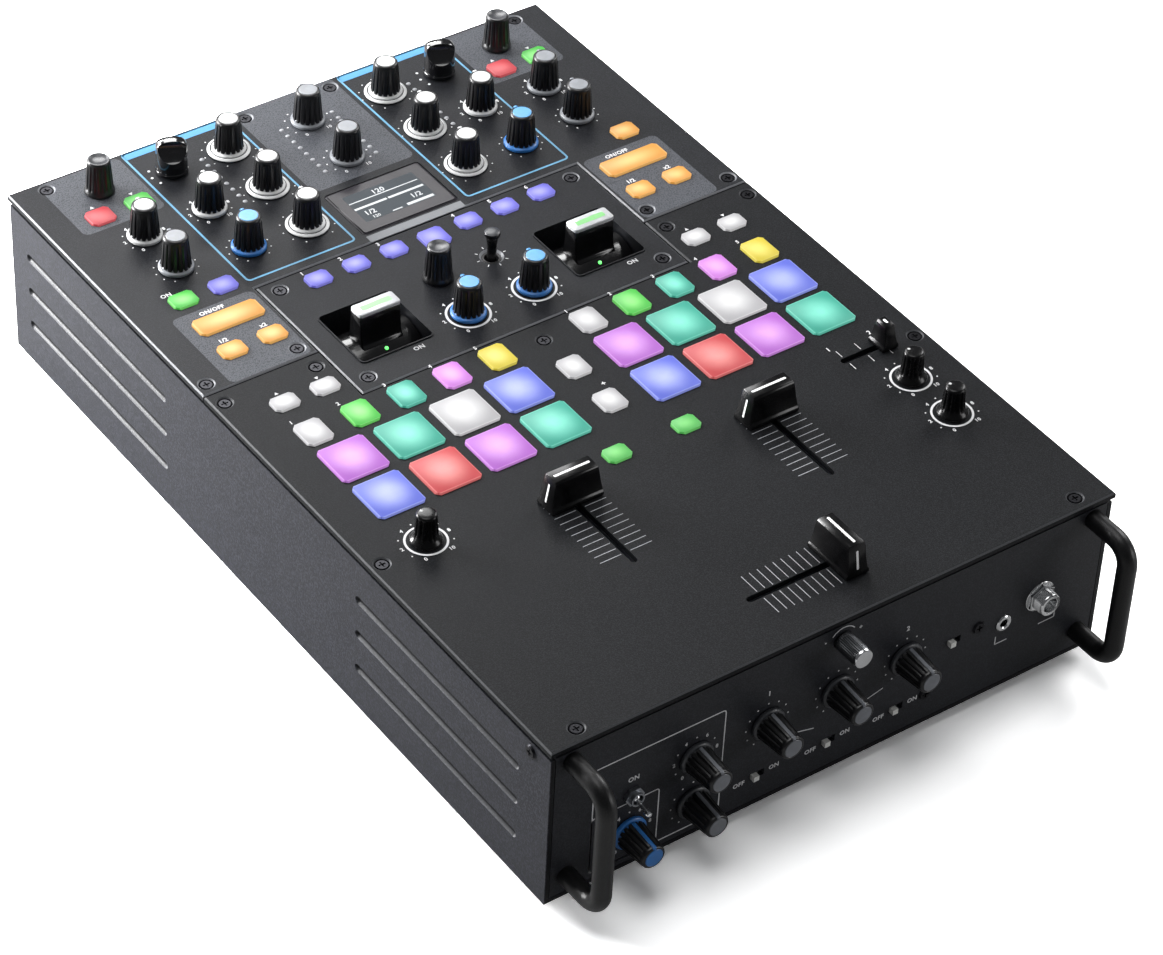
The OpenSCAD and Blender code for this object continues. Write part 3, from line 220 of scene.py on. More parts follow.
# moulded plastic: spark-eroded grain under the finger, glossier where it is handled
def mouldedPlastic(name, code, roughness=0.4, grain=5200, depth=0.25, **shader):
    finish = Finish(name, code, roughness, **shader)
    fine = finish.noise(grain)
    wear = finish.smooth(finish.noise(260, 3.0), 0.42, 0.68)
    return finish.set(
        Base_Color=finish.blend(wear * 0.6, shade(finish.color, 0.88), shade(finish.color, 1.15)),
        Roughness=roughness - 0.05 + wear * (roughness * 0.2) + fine * 0.05,
        Normal=finish.bump(fine, depth, 0.00004))


# bright metal with a fine brushed grain and faint stains
def brightMetal(name, code, roughness=0.22):
    finish = Finish(name, code, roughness, 1.0)
    brush, stain = finish.noise(2400, 3.0, 0.6), finish.noise(180, 3.0)
    return finish.set(
        Base_Color=finish.blend(stain, shade(finish.color, 0.82), shade(finish.color, 1.08)),
        Roughness=roughness - 0.07 + brush * 0.12 + stain * 0.06,
        Normal=finish.bump(brush, 0.12, 0.00003))


# translucent cap lit by a lamp under its middle; the cap's own map runs 0..1 over its face
def litCap(name, edgeCode, heartCode, body=0.33):
    finish = Finish(name, edgeCode, 0.4, Emission_Strength=0.6, Specular_IOR_Level=0.3)
    edge, heart = finish.color, tint(heartCode)
    face = finish.node("UVMap", {"uv_map": "Face"})
    across, along = finish.axis("X", face) - 0.5, finish.axis("Y", face) - 0.5
    reach, side = (across * across + along * along).root(), abs(across).atLeast(abs(along))
    glow = finish.smooth(reach, 0.0, 0.56, 1.0, 0.0) + finish.smooth(side, 0.468, 0.48, 0.0, 0.4)
    grain, cloudy = finish.noise(3800), finish.noise(240)
    skin = finish.blend(glow, shade(edge, body), shade(heart, body))
    return finish.set(
        Base_Color=finish.blend(cloudy * 0.3, skin, shade(edge, body * 0.8)),
        Emission_Color=finish.blend(cloudy * 0.2, finish.blend(glow, edge, heart), shade(edge, 0.9)),
        Roughness=0.34 + grain * 0.16, Normal=finish.bump(grain, 0.12, 0.00003))


# screen-printed ink, slightly broken where the coat under it shows through
def ink(name, code, roughness=0.55):
    finish = Finish(name, code, roughness)
    gaps = finish.smooth(finish.noise(4200), 0.3, 0.42)
    return finish.set(
        Base_Color=finish.blend(gaps * 0.75 + finish.noise(60) * 0.25, shade(finish.color, 0.72),
                                finish.color),
        Roughness=roughness + gaps * 0.1 - 0.05, Normal=finish.bump(gaps, 0.15, 0.00003))


def lamp(name, code, strength=1.0, body=1.0, **shader):
    finish = Finish(name, code, 0.3, Emission_Strength=strength, **shader)
    cell, color = finish.noise(1500), finish.color
    return finish.set(
        Base_Color=finish.blend(cell, shade(color, body * 0.8), shade(color, body)),
        Emission_Color=finish.blend(cell, shade(color, 0.85), color), Roughness=0.22 + cell * 0.2)


# mesh helpers

def only(kind, geom):
    return [item for item in geom if isinstance(item, kind)]


# each once and in order, so that every run makes the same mesh
def facesOf(verts):
    return list(dict.fromkeys(face for vert in verts for face in vert.link_faces))


def edgesOf(verts):
    return list(dict.fromkeys(edge for vert in verts for edge in vert.link_edges))


def paint(faces, slot):
    for face in faces:
        face.material_index = slot


def roundOff(bm, geom, offset, segments, affect="EDGES"):
    return bmesh.ops.bevel(bm, geom=geom, affect=affect, offset=offset, offset_type="OFFSET", segments=segments,
                           profile=0.5, material=-1)


# a shape turned round Z from rings (radius, height, flute depth, finish slot of the band above); the last two may
# be left out, which means no flutes and the slot given for the whole shape
def turned(bm, rings, segments=64, flutes=0, center=(0, 0), sharp=2.0, closed=True, slot=0):
    rings = [ring + (0, slot)[len(ring) - 2:] for ring in rings]
    made = bmesh.ops.create_circle(bm, cap_ends=closed, segments=segments, radius=1, matrix=moved(*center))["verts"]
    if closed:
        paint(facesOf(made), rings[0][3])
    edges = [edge for edge in edgesOf(made) if all(v in made for v in edge.verts)]
    shapeRing(made, rings[0], flutes, center, sharp)
    for before, ring in zip(rings, rings[1:]):
        grown = bmesh.ops.extrude_edge_only(bm, edges=edges)["geom"]
        verts = only(bmesh.types.BMVert, grown)
        paint(only(bmesh.types.BMFace, grown), before[3])
        edges = [edge for edge in only(bmesh.types.BMEdge, grown) if all(v in verts for v in edge.verts)]
        shapeRing(verts, ring, flutes, center, sharp)
    if closed:
        paint(bmesh.ops.contextual_create(bm, geom=edges)["faces"], rings[-1][3])


def shapeRing(verts, ring, flutes, center, sharp):
    radius, height, depth = ring[:3]
    for vert in verts:
        angle = math.atan2(vert.co.y - center[1], vert.co.x - center[0])
        wave = max(0.0, math.cos(flutes * angle)) ** sharp if flutes else 0.0
        reach = radius - depth * wave
        vert.co = (center[0] + reach * math.cos(angle), center[1] + reach * math.sin(angle), height)


# extrudes flat faces upwards; returns the new verts and the top
def raised(bm, faces, up):
    for face in faces:
        face.normal_update()
        if face.normal.z > 0:
            face.normal_flip()
    grown = bmesh.ops.extrude_face_region(bm, geom=faces, use_keep_orig=True)["geom"]
    verts = only(bmesh.types.BMVert, grown)
    bmesh.ops.translate(bm, vec=(0, 0, up), verts=verts)
    return verts, only(bmesh.types.BMFace, grown)


# a flat-bottomed block with rounded upright corners and a softened top
def cushionBlock(bm, width, depth, low, high, corner, cornerSegments, soften, softSegments, center=(0, 0), slot=0):
    made = bmesh.ops.create_grid(bm, x_segments=1, y_segments=1, size=0.5)["verts"]
    bmesh.ops.scale(bm, vec=(width, depth, 1), verts=made)
    bmesh.ops.translate(bm, vec=(*center, low), verts=made)
    base = facesOf(roundOff(bm, made, corner, cornerSegments, "VERTICES")["verts"])
    verts, top = raised(bm, base, high - low)
    paint(facesOf(verts) + base, slot)
    roundOff(bm, list(dict.fromkeys(edge for face in top for edge in face.edges)), soften, softSegments)


# a bar with the outline of points in the XZ plane, extruded along Y by width about the middle
def bar(bm, points, width, soften=0.0, slot=0, softSegments=2, turn=Matrix()):
    outline = [bm.verts.new((x, -width / 2, z)) for x, z in points]
    grown = bmesh.ops.extrude_face_region(bm, geom=[bm.faces.new(outline)], use_keep_orig=True)["geom"]
    verts = only(bmesh.types.BMVert, grown)
    bmesh.ops.translate(bm, vec=(0, width, 0), verts=verts)
    everything = outline + verts
    bmesh.ops.transform(bm, matrix=turn, verts=everything)
    faces = facesOf(everything)
    paint(faces, slot)
    bmesh.ops.recalc_face_normals(bm, faces=faces)
    if soften:
        roundOff(bm, edgesOf(everything), soften, softSegments)


# the outline's own first two points are its foot; the rest is repeated on the other side
def mirrored(halfOutline):
    return halfOutline + [(-x, z) for x, z in reversed(halfOutline[2:])]


def meshOf(name, bm, recalc=True):
    if recalc:
        bmesh.ops.recalc_face_normals(bm, faces=bm.faces)
    mesh = bpy.data.meshes.new(name)
    bm.to_mesh(mesh)
    bm.free()
    return mesh


def stand(name, data):
    item = bpy.data.objects.new(name, data)
    bpy.context.scene.collection.objects.link(item)
    return item


def finishPiece(name, bm, body, finishes, where=None, hides=(), angle=32, recalc=True):
    mesh = meshOf(name, bm, recalc)
    if where:
        mesh.transform(where)
    mesh.shade_smooth()
    mesh.set_sharp_from_angle(angle=math.radians(angle))
    for finish in finishes:
        mesh.materials.append(finish)
    piece = stand(name, mesh)
    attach(piece, body)
    if hides:
        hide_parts(*hides)


# camera, light and floor

studio = {"lens": 130.21, "sensor": 36, "clip": (0.05, 20), "eye": (-0.78067, -1.04678, 1.13308),
          "aim": (-0.0362, -0.06951, 0.08343), "roll": 3.131, "floorHalf": 4.0, "floorSink": 0.0002,
          "floorColor": (0.43, 0.43, 0.43, 1), "whiteFrom": (0.5, 0.9), "roomColor": (0.94, 0.96, 1.0, 1),
          "roomStrength": 0.12}
lamps = {
    "overhead": {"at": (-0.2, 0.1, 2.0), "to": (0.0, 0.0, 0.05), "size": (1.2, 1.2), "power": 18},
    "rearNear": {"at": (0.2, 0.8, 0.77), "to": (-0.1, 0.15, 0.08), "size": (0.6, 0.4), "power": 9},
    "rearLeft": {"at": (-0.5, 0.9, 0.5), "to": (-0.05, 0.15, 0.08), "size": (0.6, 0.4), "power": 7.5, "spread": 100},
    "rightHigh": {"at": (1.9, 0.4, 1.3), "to": (0.0, -0.1, 0.05), "size": (1.0, 1.0), "power": 29},
    "frontRight": {"at": (1.5, -1.4, 0.5), "to": (0.0, -0.15, 0.05), "size": (0.8, 0.6), "power": 10},
    "sideLow": {"at": (-0.5, 0.6, 0.13), "to": (-0.13, 0.17, 0.04), "size": (0.25, 0.15), "power": 1.5, "spread": 60},
}


def aimed(at, to):
    way = Vector(to) - Vector(at)
    return Matrix.Translation(at) @ way.to_track_quat("-Z", "Y").to_matrix().to_4x4()


def setCamera():
    data = bpy.data.cameras.new("camera")
    data.lens, data.sensor_width = studio["lens"], studio["sensor"]
    data.clip_start, data.clip_end = studio["clip"]
    camera = stand("camera", data)
    camera.matrix_world = aimed(studio["eye"], studio["aim"]) @ rolled(studio["roll"])
    bpy.context.scene.camera = camera


def setLamps():
    for name, lampSet in lamps.items():
        data = bpy.data.lights.new(name, "AREA")
        data.shape, data.energy = "RECTANGLE", lampSet["power"]
        data.size, data.size_y = lampSet["size"]
        data.spread = math.radians(lampSet.get("spread", 180))
        stand(name, data).matrix_world = aimed(lampSet["at"], lampSet["to"])


# paper exposed four times as long for the camera as for the rest of the room, and plain white far away
def studioPaper():
    paper = Finish("studioPaper", "#ffffff", 0.9, Specular_IOR_Level=0.1)
    paper.set(Base_Color=studio["floorColor"])
    shaded = Wire(paper, paper.shader.outputs[0])
    twice = paper.node("AddShader", inputs={0: shaded, 1: shaded})
    fourfold = paper.node("AddShader", inputs={0: twice, 1: twice})
    far = paper.node("VectorMath", {"operation": "LENGTH"}, {0: paper.position}, "Value")
    fade = paper.smooth(far, *studio["whiteFrom"])
    faded = paper.node("MixShader", inputs={0: fade, 1: fourfold, 2: paper.node("Emission")})
    paper.feed(paper.nodes["Material Output"].inputs[0], paper.forCamera(shaded, faded))
    return paper.material


def setFloor():
    bm = bmesh.new()
    bmesh.ops.create_grid(bm, x_segments=8, y_segments=8, size=studio["floorHalf"])
    mesh = meshOf("floor", bm, recalc=False)
    mesh.materials.append(studioPaper())
    floor = stand("floor", mesh)
    floor.location.z = -studio["floorSink"]


def setWorld():
    world = bpy.data.worlds.new("studio")
    world.use_nodes = True
    net = Net(world.node_tree)
    room = net.nodes["Background"]
    net.feed(room.inputs["Color"], studio["roomColor"])
    net.feed(room.inputs["Strength"], studio["roomStrength"])
    white = net.node("Background", inputs={"Color": (1, 1, 1, 1)})
    net.feed(net.nodes["World Output"].inputs[0], net.forCamera(Wire(net, room.outputs[0]), white))
    bpy.context.scene.world = world
    bpy.context.scene.view_settings.view_transform = "Standard"


setCamera()
setLamps()
setFloor()
setWorld()
print("camera, lamps and floor set")


# coats and finishes of the steelwork

# grey fields on the mixer plate: half distance of the centres, y, half width, half depth, corner
printedZones = [(100.75, 371 - desk["middle"], 19.25, 20, 3), (100.5, 261.75 - desk["middle"], 19, 23.25, 3),
                (0, 359.5 - desk["middle"], 25, 33.2, 3)]
# edge sets the strength of the rubbed edges and painted highlight on upward-facing slopes
coats = {
    "chassis": powderCoat("tubCoat", "#26272c", 0.42, 0.6, 1700, edge=0.15, grooveShadePlane=0.1324, Specular_IOR_Level=0.16),
    "front_panel": powderCoat("frontCoat", "#1e1f23", 0.46, 0.3, Specular_IOR_Level=0.22),
    "rear_panel": powderCoat("rearCoat", "#24252a", 0.5, 0.3),
    "mixer_plate": powderCoat("mixerPlateCoat", "#17181b", 0.44, 0.6, zones=printedZones, zoneCode="#4a4c51",
                              edge=0.7, Specular_IOR_Level=0.13),
    "fx_plate": powderCoat("fxPlateCoat", "#151619", 0.44, 0.6, edge=0.7, Specular_IOR_Level=0.11),
    "pad_plate": powderCoat("padPlateCoat", "#141517", 0.44, 0.6, edge=0.2, Specular_IOR_Level=0.09),
    "front_handles": powderCoat("handleCoat", "#0d0d0e", 0.36, 0.25, 3200, Specular_IOR_Level=0.3),
    "panel_screws": brightMetal("blackedScrew", "#2a2a2d", 0.34),
    "rubber_feet": mouldedPlastic("footRubber", "#17171a", 0.75, 2400, 0.4),
    "circuit_boards": powderCoat("boardLacquer", "#1f5a3a", 0.35, 0.2, 1200),
    "control_units": brightMetal("controlSteel", "#9a9da2", 0.32),
    "power_rocker": mouldedPlastic("rockerPlastic", "#0f0f11", 0.35),
    "front_slide_switches": mouldedPlastic("slideWhite", "#dcdcd8"),
    "mic_toggle": brightMetal("toggleChrome", "#dcdee0", 0.14),
    "display_and_meters": mouldedPlastic("displayBezel", "#0d0e11", 0.22, depth=0.05),
}
for nodeName, coat in coats.items():
    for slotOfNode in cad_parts[nodeName].material_slots:
        slotOfNode.material = coat
print("steelwork finished:", len(coats))


# knobs

def knobPlastic(name, code, roughness=0.38):
    return mouldedPlastic(name, code, roughness, depth=0.1)


blackKnob = mouldedPlastic("knobBlack", "#0e0e10", 0.34, depth=0.22, Specular_IOR_Level=0.4, Coat_Weight=0.1,
                           Coat_Roughness=0.25)
glossKnob = mouldedPlastic("selectorGloss", "#101012", 0.16, depth=0.06, Coat_Weight=0.6, Coat_Roughness=0.08)
domeBlack = mouldedPlastic("domeBlack", "#09090a", 0.26, depth=0.08, Specular_IOR_Level=0.25)
encoderTop = knobPlastic("encoderTop", "#3a3b3e", 0.3)
knurled, silverEnd = brightMetal("tensionKnurl", "#6d6f72", 0.34), brightMetal("tensionEnd", "#d6d7d9", 0.2)
knobColors = {
    "white": knobPlastic("knobWhite", "#c0c1c1"), "grey": knobPlastic("knobGrey", "#76797e"),
    "blue": knobPlastic("knobBlue", "#2669ae", 0.36), "skyCap": knobPlastic("knobSkyCap", "#4489bd", 0.36),
    "steelGrey": knobPlastic("knobSteelGrey", "#34363a"), "ashCap": knobPlastic("knobAshCap", "#6c6f75", 0.36),
}
potKnob = {"lift": 0.4, "skirtRadius": 7.4, "footRadius": 6.35, "topRadius": 5.25, "height": 16.2,
           "flutes": 16, "fluteDepth": 0.6, "sharp": 1.3, "segments": 128, "spineWidth": 1.5}


def makePotKnob(node, where, skirt, cap, ringed=False):
    k, bm = potKnob, bmesh.new()

    def lifted(rings):
        return [(radius, k["lift"] + z, *rest) for radius, z, *rest in rings]

    # coloured skirt with a low cone that shows at the foot of each flute, and a wide ring round some
    wide = k["skirtRadius"]
    turned(bm, lifted([(wide - 0.1, 0), (wide, 0.15), (wide, 1.0), (wide - 0.22, 1.35), (6.85, 1.55), (6.2, 1.75),
                       (5.5, 2.9)]), slot=1)
    if ringed:
        turned(bm, lifted([(9.05, 0), (9.2, 0.12), (9.2, 0.4), (9.0, 0.6), (8.1, 0.95), (7.9, 0.85, 0, 0),
                           (7.55, 0.75, 0, 0)]), 72, slot=1)
    foot, top, high, deep = k["footRadius"], k["topRadius"], k["height"], k["fluteDepth"]
    slope = (foot - top) / (high - 3)
    body = [(foot - 0.35, 1.7, 0.2), (foot + 0.1, 1.95, deep + 0.1), (foot, 2.5, deep + 0.1)]
    body += [(foot - slope * (z - 2.2), z, deep * (1 - 0.03 * z)) for z in (4, 6.5, 9, 11.5, high - 2.6)]
    body += [(top + 0.04, high - 2.2, deep * 0.4), (top + 0.03, high - 1.8, 0.06), (top, high - 1.3),
             (top - 0.1, high - 0.8), (top - 0.34, high - 0.38), (top - 0.7, high - 0.16),
             (top - 1.05, high - 0.14), (top - 1.22, high - 0.3)]
    turned(bm, lifted(body), k["segments"], k["flutes"], sharp=k["sharp"])
    # cap disc set into the rim
    turned(bm, lifted([(top - 1.3, high - 0.6), (top - 1.3, high - 0.18), (top - 1.45, high - 0.04), (2.6, high),
                       (1.2, high)]), 48, slot=2)
    # pointer spine up the side and over the rim
    spine = [(foot - 0.9, 2.0), (foot + 0.42, 2.0), (foot + 0.36, 3.0), (top + 0.42, high - 1.7),
             (top + 0.34, high - 0.4), (top + 0.02, high), (top - 0.5, high), (top - 1.0, high),
             (top - 1.2, high - 0.5), (top - 0.6, high - 0.9)]
    bar(bm, lifted(spine), k["spineWidth"], 0.22, 2, turn=rolled(90))
    finishPiece(node + "_cap", bm, node, [blackKnob, knobColors[skirt], knobColors[cap]], where, (node,))


# distances from the rear edge, turned into places, and distances from the middle line
row = {"high": 21.8, "mid": 52.6, "low": 83.2, "mic": 54.4, "tone": 79.1, "scroll": 18, "time": 141.3,
       "beat": 141, "depth": 167.1, "paddle": 154.3, "sampler": 272.6, "cueMix": 295, "cueLevel": 320.8,
       "faders": 300.2, "cueSlider": 272.3, "display": 86.1}
row = {name: behind(distance) for name, distance in row.items()}
column = {"eq": 39.3, "level": 67.5, "outer": 99.5, "selector": 67, "depth": 16.1, "time": -13.5,
          "beat": 13, "paddle": 52.3, "fader": 47, "sampler": -106.7, "cueMix": 109.6, "cueLevel": 109.7}

topKnobs = [("main_level", 0, "high", "grey"), ("booth_level", 0, "mid", "grey"),
            ("mic_level", -column["outer"], "mic", "white"), ("mic_tone", -column["outer"], "tone", "grey"),
            ("session_in", column["outer"], "mic", "grey"), ("session_out", column["outer"], "tone", "grey")]
for name, x, line, color in topKnobs:
    makePotKnob(name + "_knob", onTop(x, row[line]), color, color)
deckKnobs = [("high", "eq", "high", "white", "white"), ("mid", "eq", "mid", "white", "white"),
             ("low", "eq", "low", "white", "white"), ("level", "level", "mid", "white", "white"),
             ("filter", "level", "low", "blue", "skyCap"), ("depth", "depth", "depth", "blue", "skyCap")]
for deck, side in decks:
    for name, across, line, skirt, cap in deckKnobs:
        makePotKnob(f"deck{deck}_{name}_knob", onTop(side * column[across], row[line]), skirt, cap,
                    across == "eq")
frontKnobs = [("front_mic1_knob", -95, 18, "blue", "blue"), ("front_mic2_knob", -65.7, 41, "steelGrey", "ashCap"),
              ("front_tone_knob", -65.7, 18, "steelGrey", "ashCap"),
              ("deck1_contour_knob", -32.5, 41, "steelGrey", "ashCap"),
              ("crossfader_contour_knob", 0.5, 41, "steelGrey", "ashCap"),
              ("deck2_contour_knob", 33.5, 41, "steelGrey", "ashCap")]
for node, x, z, skirt, cap in frontKnobs:
    makePotKnob(node, onFront(x, z), skirt, cap)
print("pot knobs made:", len(topKnobs) + 2 * len(deckKnobs) + len(frontKnobs))

encoderKnob = {
    "finishes": [blackKnob, encoderTop], "segments": 112, "flutes": 16, "sharp": potKnob["sharp"],
    "rings": [(6.2, 0.4), (6.4, 0.6), (6.38, 1.5), (6.15, 2.1), (5.95, 2.7, 0.1), (5.8, 3.5, 0.44), (5.55, 7.5, 0.44),
              (5.2, 12, 0.42), (5.02, 14.4, 0.36), (4.96, 15.1, 0.1), (4.9, 15.6), (4.75, 16.1), (4.42, 16.42, 0, 1),
              (4.05, 16.48, 0, 1), (3.72, 16.3, 0, 1), (3.0, 16.0, 0, 1), (2.0, 15.75, 0, 1), (1.0, 15.65, 0, 1)],
}
smallKnob = {
    "finishes": [domeBlack, knobColors["white"]], "segments": 120, "flutes": 12, "sharp": potKnob["sharp"],
    "dot": [(0.62, 13.7), (0.62, 13.96), (0.5, 14.02)], "dotAt": around(0, 0, 2.3, 120),
    "rings": [(6.3, 0.4), (6.5, 0.6), (6.48, 1.2), (6.1, 1.8), (5.4, 2.6), (4.95, 3.6, 0.05), (4.78, 4.6, 0.5),
              (4.55, 7.5, 0.5), (4.3, 11, 0.46), (4.22, 12.4, 0.3), (4.15, 12.9, 0.05), (3.95, 13.4), (3.6, 13.75),
              (3.1, 13.88), (1.5, 13.95)],
}
tensionKnob = {
    "finishes": [knurled, silverEnd], "segments": 192, "flutes": 32, "sharp": 0.8, "x": 1, "z": 66.5,
    "rings": [(4.0, 0.4), (4.2, 0.7), (4.2, 2.0, 0.12), (4.25, 2.2, 0.3), (4.25, 11.4, 0.3), (4.2, 11.7, 0, 1),
              (4.15, 12.5, 0, 1), (3.9, 12.85, 0, 1), (1.5, 12.9, 0, 1)],
}


# a fluted knob of one turned shape, with a pale dot on its top where it has one
def makeTurnedKnob(node, where, k):
    bm = bmesh.new()
    turned(bm, k["rings"], k["segments"], k["flutes"], sharp=k["sharp"])
    if "dot" in k:
        turned(bm, k["dot"], 20, slot=1, center=k["dotAt"])
    finishPiece(node + "_cap", bm, node, k["finishes"], where, (node,))


for deck, side in decks:
    makeTurnedKnob(f"deck{deck}_scroll_encoder", onTop(side * column["outer"], row["scroll"]), encoderKnob)
makeTurnedKnob("fx_time_encoder", onTop(column["time"], row["time"]), encoderKnob)
for node, spot in (("sampler_knob", "sampler"), ("cue_mix_knob", "cueMix"), ("cue_level_knob", "cueLevel")):
    makeTurnedKnob(node, onTop(column[spot], row[spot]), smallKnob)


# cuts one closed mesh out of another and clears the helpers away
def carve(mesh, cutterMesh):
    body, cutter = stand("body", mesh), stand("cutter", cutterMesh)
    step = body.modifiers.new("cut", "BOOLEAN")
    step.object, step.operation, step.solver = cutter, "DIFFERENCE", "EXACT"
    result = evaluated(body)
    bpy.data.objects.remove(cutter)
    return result


# the mesh that an object shows; the object itself goes
def evaluated(item):
    graph = bpy.context.evaluated_depsgraph_get()
    mesh = bpy.data.meshes.new_from_object(item.evaluated_get(graph))
    bpy.data.objects.remove(item)
    return mesh


selectorKnob = {"top": 16.6, "radius": 6.9, "scoop": 10.2, "scoopOut": 12.1, "turn": -24}


# finger bar left between two round scoops
def makeSelector(node, x):
    k, bm = selectorKnob, bmesh.new()
    r, top = k["radius"], k["top"]
    turned(bm, [(r - 0.3, 0.4), (r, 0.7), (r, 2.0), (r - 0.25, 2.3), (r - 0.25, top - 4.0), (r - 0.35, top - 3.0),
                (r - 0.7, top - 2.2), (r - 1.3, top - 1.5), (r - 2.4, top - 0.85), (r - 4.0, top - 0.28),
                (r - 5.8, top)], 72)
    cutters = bmesh.new()
    for side in (-1, 1):
        bmesh.ops.create_cone(cutters, cap_ends=True, segments=96, radius1=k["scoop"], radius2=k["scoop"], depth=30,
                              matrix=moved(0, side * k["scoopOut"], top + 0.2) @ rolled(90, "Y"))
    carved = carve(meshOf("selectorBlank", bm), meshOf("scoops", cutters))
    bm = bmesh.new()
    bm.from_mesh(carved)
    bar(bm, [(-5.9, top - 2.0), (-5.4, top - 1.2), (-4.3, top - 0.72), (-2.6, top - 0.22), (-0.8, top + 0.03),
             (-0.8, top - 0.6), (-5.0, top - 2.4)], 0.85, 0.08, 1)
    finishPiece(node + "_cap", bm, node, [glossKnob, knobColors["white"]],
                onTop(x, row["high"]) @ rolled(k["turn"]), (node,))


for deck, side in decks:
    makeSelector(f"deck{deck}_source_selector", side * column["selector"])
makeTurnedKnob("tension_knob", onFront(tensionKnob["x"], tensionKnob["z"]), tensionKnob)
print("encoders, selectors and small knobs made")


# fader caps

capBlack = mouldedPlastic("faderCapBlack", "#09090a", 0.24, depth=0.06, Specular_IOR_Level=0.25)
lineWhite = ink("lineWhite", "#f2f2f2", 0.4)
faderCap = {"length": 24, "width": 11, "height": 15, "lean": 2.6, "lineWidth": 1.15, "fromMiddle": 18.1,
            "crossY": 27.5}
cueCap = {"length": 10, "width": 8, "height": 12, "x": 113.3}


# a cap for a slot along X: waisted sides, leaning ends, a line on top and on the end towards -Y
def makeFaderCap(node, where, size=faderCap):
    bm = bmesh.new()
    length, half, height, low = size["length"], size["width"] / 2, size["height"], 0.4
    lean, lineWidth = faderCap["lean"], faderCap["lineWidth"]
    bar(bm, mirrored([(-half, low), (half, low), (half, low + 1.6), (half - 0.75, low + 2.6),
                      (half - 1.3, height * 0.5), (half - 1.35, height - 2.6), (half - 1.7, height - 0.9),
                      (half - 2.3, height)]), length)
    for vert in bm.verts:
        side = 1 if vert.co.y > 0 else -1
        vert.co.y -= side * lean * max(0.0, vert.co.z - low - 1.6) / height
    roundOff(bm, bm.edges[:], 0.28, 2)
    cushionBlock(bm, lineWidth, length - 2 * lean - 2.2, height - 0.3, height + 0.06, 0.4, 3, 0.05, 1, slot=1)
    if size is faderCap:  # the cue slider's short cap has no line on its end
        start, stop = low + 3.2, height - 3.0
        middle = (start + stop) / 2
        lineAt = length / 2 - lean * (middle - low - 1.6) / height
        before = set(bm.verts)
        cushionBlock(bm, lineWidth * 0.9, stop - start, -0.3, 0.05, 0.4, 3, 0.04, 1, slot=1)
        tilt = Matrix.Rotation(-math.atan2(lean, height), 4, "X")
        bmesh.ops.transform(bm, matrix=moved(0, -lineAt + 0.02, middle) @ tilt @ rolled(90, "X"),
                            verts=[v for v in bm.verts if v not in before])
    # stem down through the slot
    cushionBlock(bm, 4, 1.4, -6, 1.2, 0.3, 1, 0.1, 1)
    finishPiece(node + "_top", bm, node, [capBlack, lineWhite], where, (node,), 28)


for deck, side in decks:
    makeFaderCap(f"deck{deck}_fader_cap", onTop(side * column["fader"], row["faders"] + faderCap["fromMiddle"])
                 @ rolled(-90))
makeFaderCap("crossfader_cap", onTop(faderCap["fromMiddle"], faderCap["crossY"]))
makeFaderCap("cue_slider_cap", onTop(cueCap["x"], row["cueSlider"]), cueCap)
print("fader caps made")


# paddles and the beat lever

paddleGloss = mouldedPlastic("paddleGloss", "#0b0b0c", 0.2, depth=0.05, Coat_Weight=0.3, Coat_Roughness=0.1)
paddleWhite = mouldedPlastic("paddleWhite", "#b2b4b6", 0.22, depth=0.05, Coat_Weight=0.5, Coat_Roughness=0.1)
greenStrip, greenLamp = lamp("greenStrip", "#8fe48b", 0.6, 0.25), lamp("greenLamp", "#5ff06a", 2.2)
paddleSet = {"drumRadius": 16.2, "drumWidth": 32.3, "pinLength": 36, "pivotDrop": 19.2, "bladeWidth": 19.4,
             "bladeTop": 10.7, "plateThick": 1.3, "ledBack": -8.3}


def makePaddle(node, x):
    k, bm = paddleSet, bmesh.new()
    radius, drop, width, top = k["drumRadius"], k["pivotDrop"], k["bladeWidth"], k["bladeTop"]
    bar(bm, [around(0, -drop, radius, angle) for angle in range(-8, 189, 4)], k["drumWidth"], 0.35, turn=rolled(90))
    bmesh.ops.create_cone(bm, cap_ends=True, segments=32, radius1=2, radius2=2, depth=k["pinLength"],
                          matrix=moved(0, 0, -drop) @ rolled(90, "Y"))
    bar(bm, mirrored([(-6.6, -4.6), (6.6, -4.6), (5.0, -2.6), (4.35, 0.5), (3.95, 6), (3.7, top)]), width, 0.75, 0, 3,
        rolled(90))
    # pale plate on the blade with a lit strip let into it
    plateTop = top + k["plateThick"]
    cushionBlock(bm, width + 0.1, 7.7, top - 0.15, plateTop, 1.3, 4, 0.45, 3, slot=1)
    cushionBlock(bm, width - 5.2, 3.0, plateTop - 0.3, plateTop + 0.05, 0.6, 3, 0.1, 1, slot=2)
    # small lamp on the drum, square to its surface
    before = set(bm.verts)
    turned(bm, [(1.0, -0.6), (1.0, 0.06), (0.8, 0.1, 0, 3), (0.72, 0.3, 0, 3), (0.35, 0.5, 0, 3)], 24)
    ledZ = math.sqrt(radius ** 2 - k["ledBack"] ** 2) - drop
    lean = Matrix.Rotation(math.asin(-k["ledBack"] / radius), 4, "X")
    bmesh.ops.transform(bm, matrix=moved(0, k["ledBack"], ledZ) @ lean,
                        verts=[v for v in bm.verts if v not in before])
    finishPiece(node + "_blade", bm, node, [paddleGloss, paddleWhite, greenStrip, greenLamp],
                onTop(x, row["paddle"]), (node,), 30)


for deck, side in decks:
    makePaddle(f"deck{deck}_fx_paddle", side * column["paddle"])

beatLever = {"foot": -4, "neck": 2.0, "head": 3.4}
leverAt = onTop(column["beat"], row["beat"])


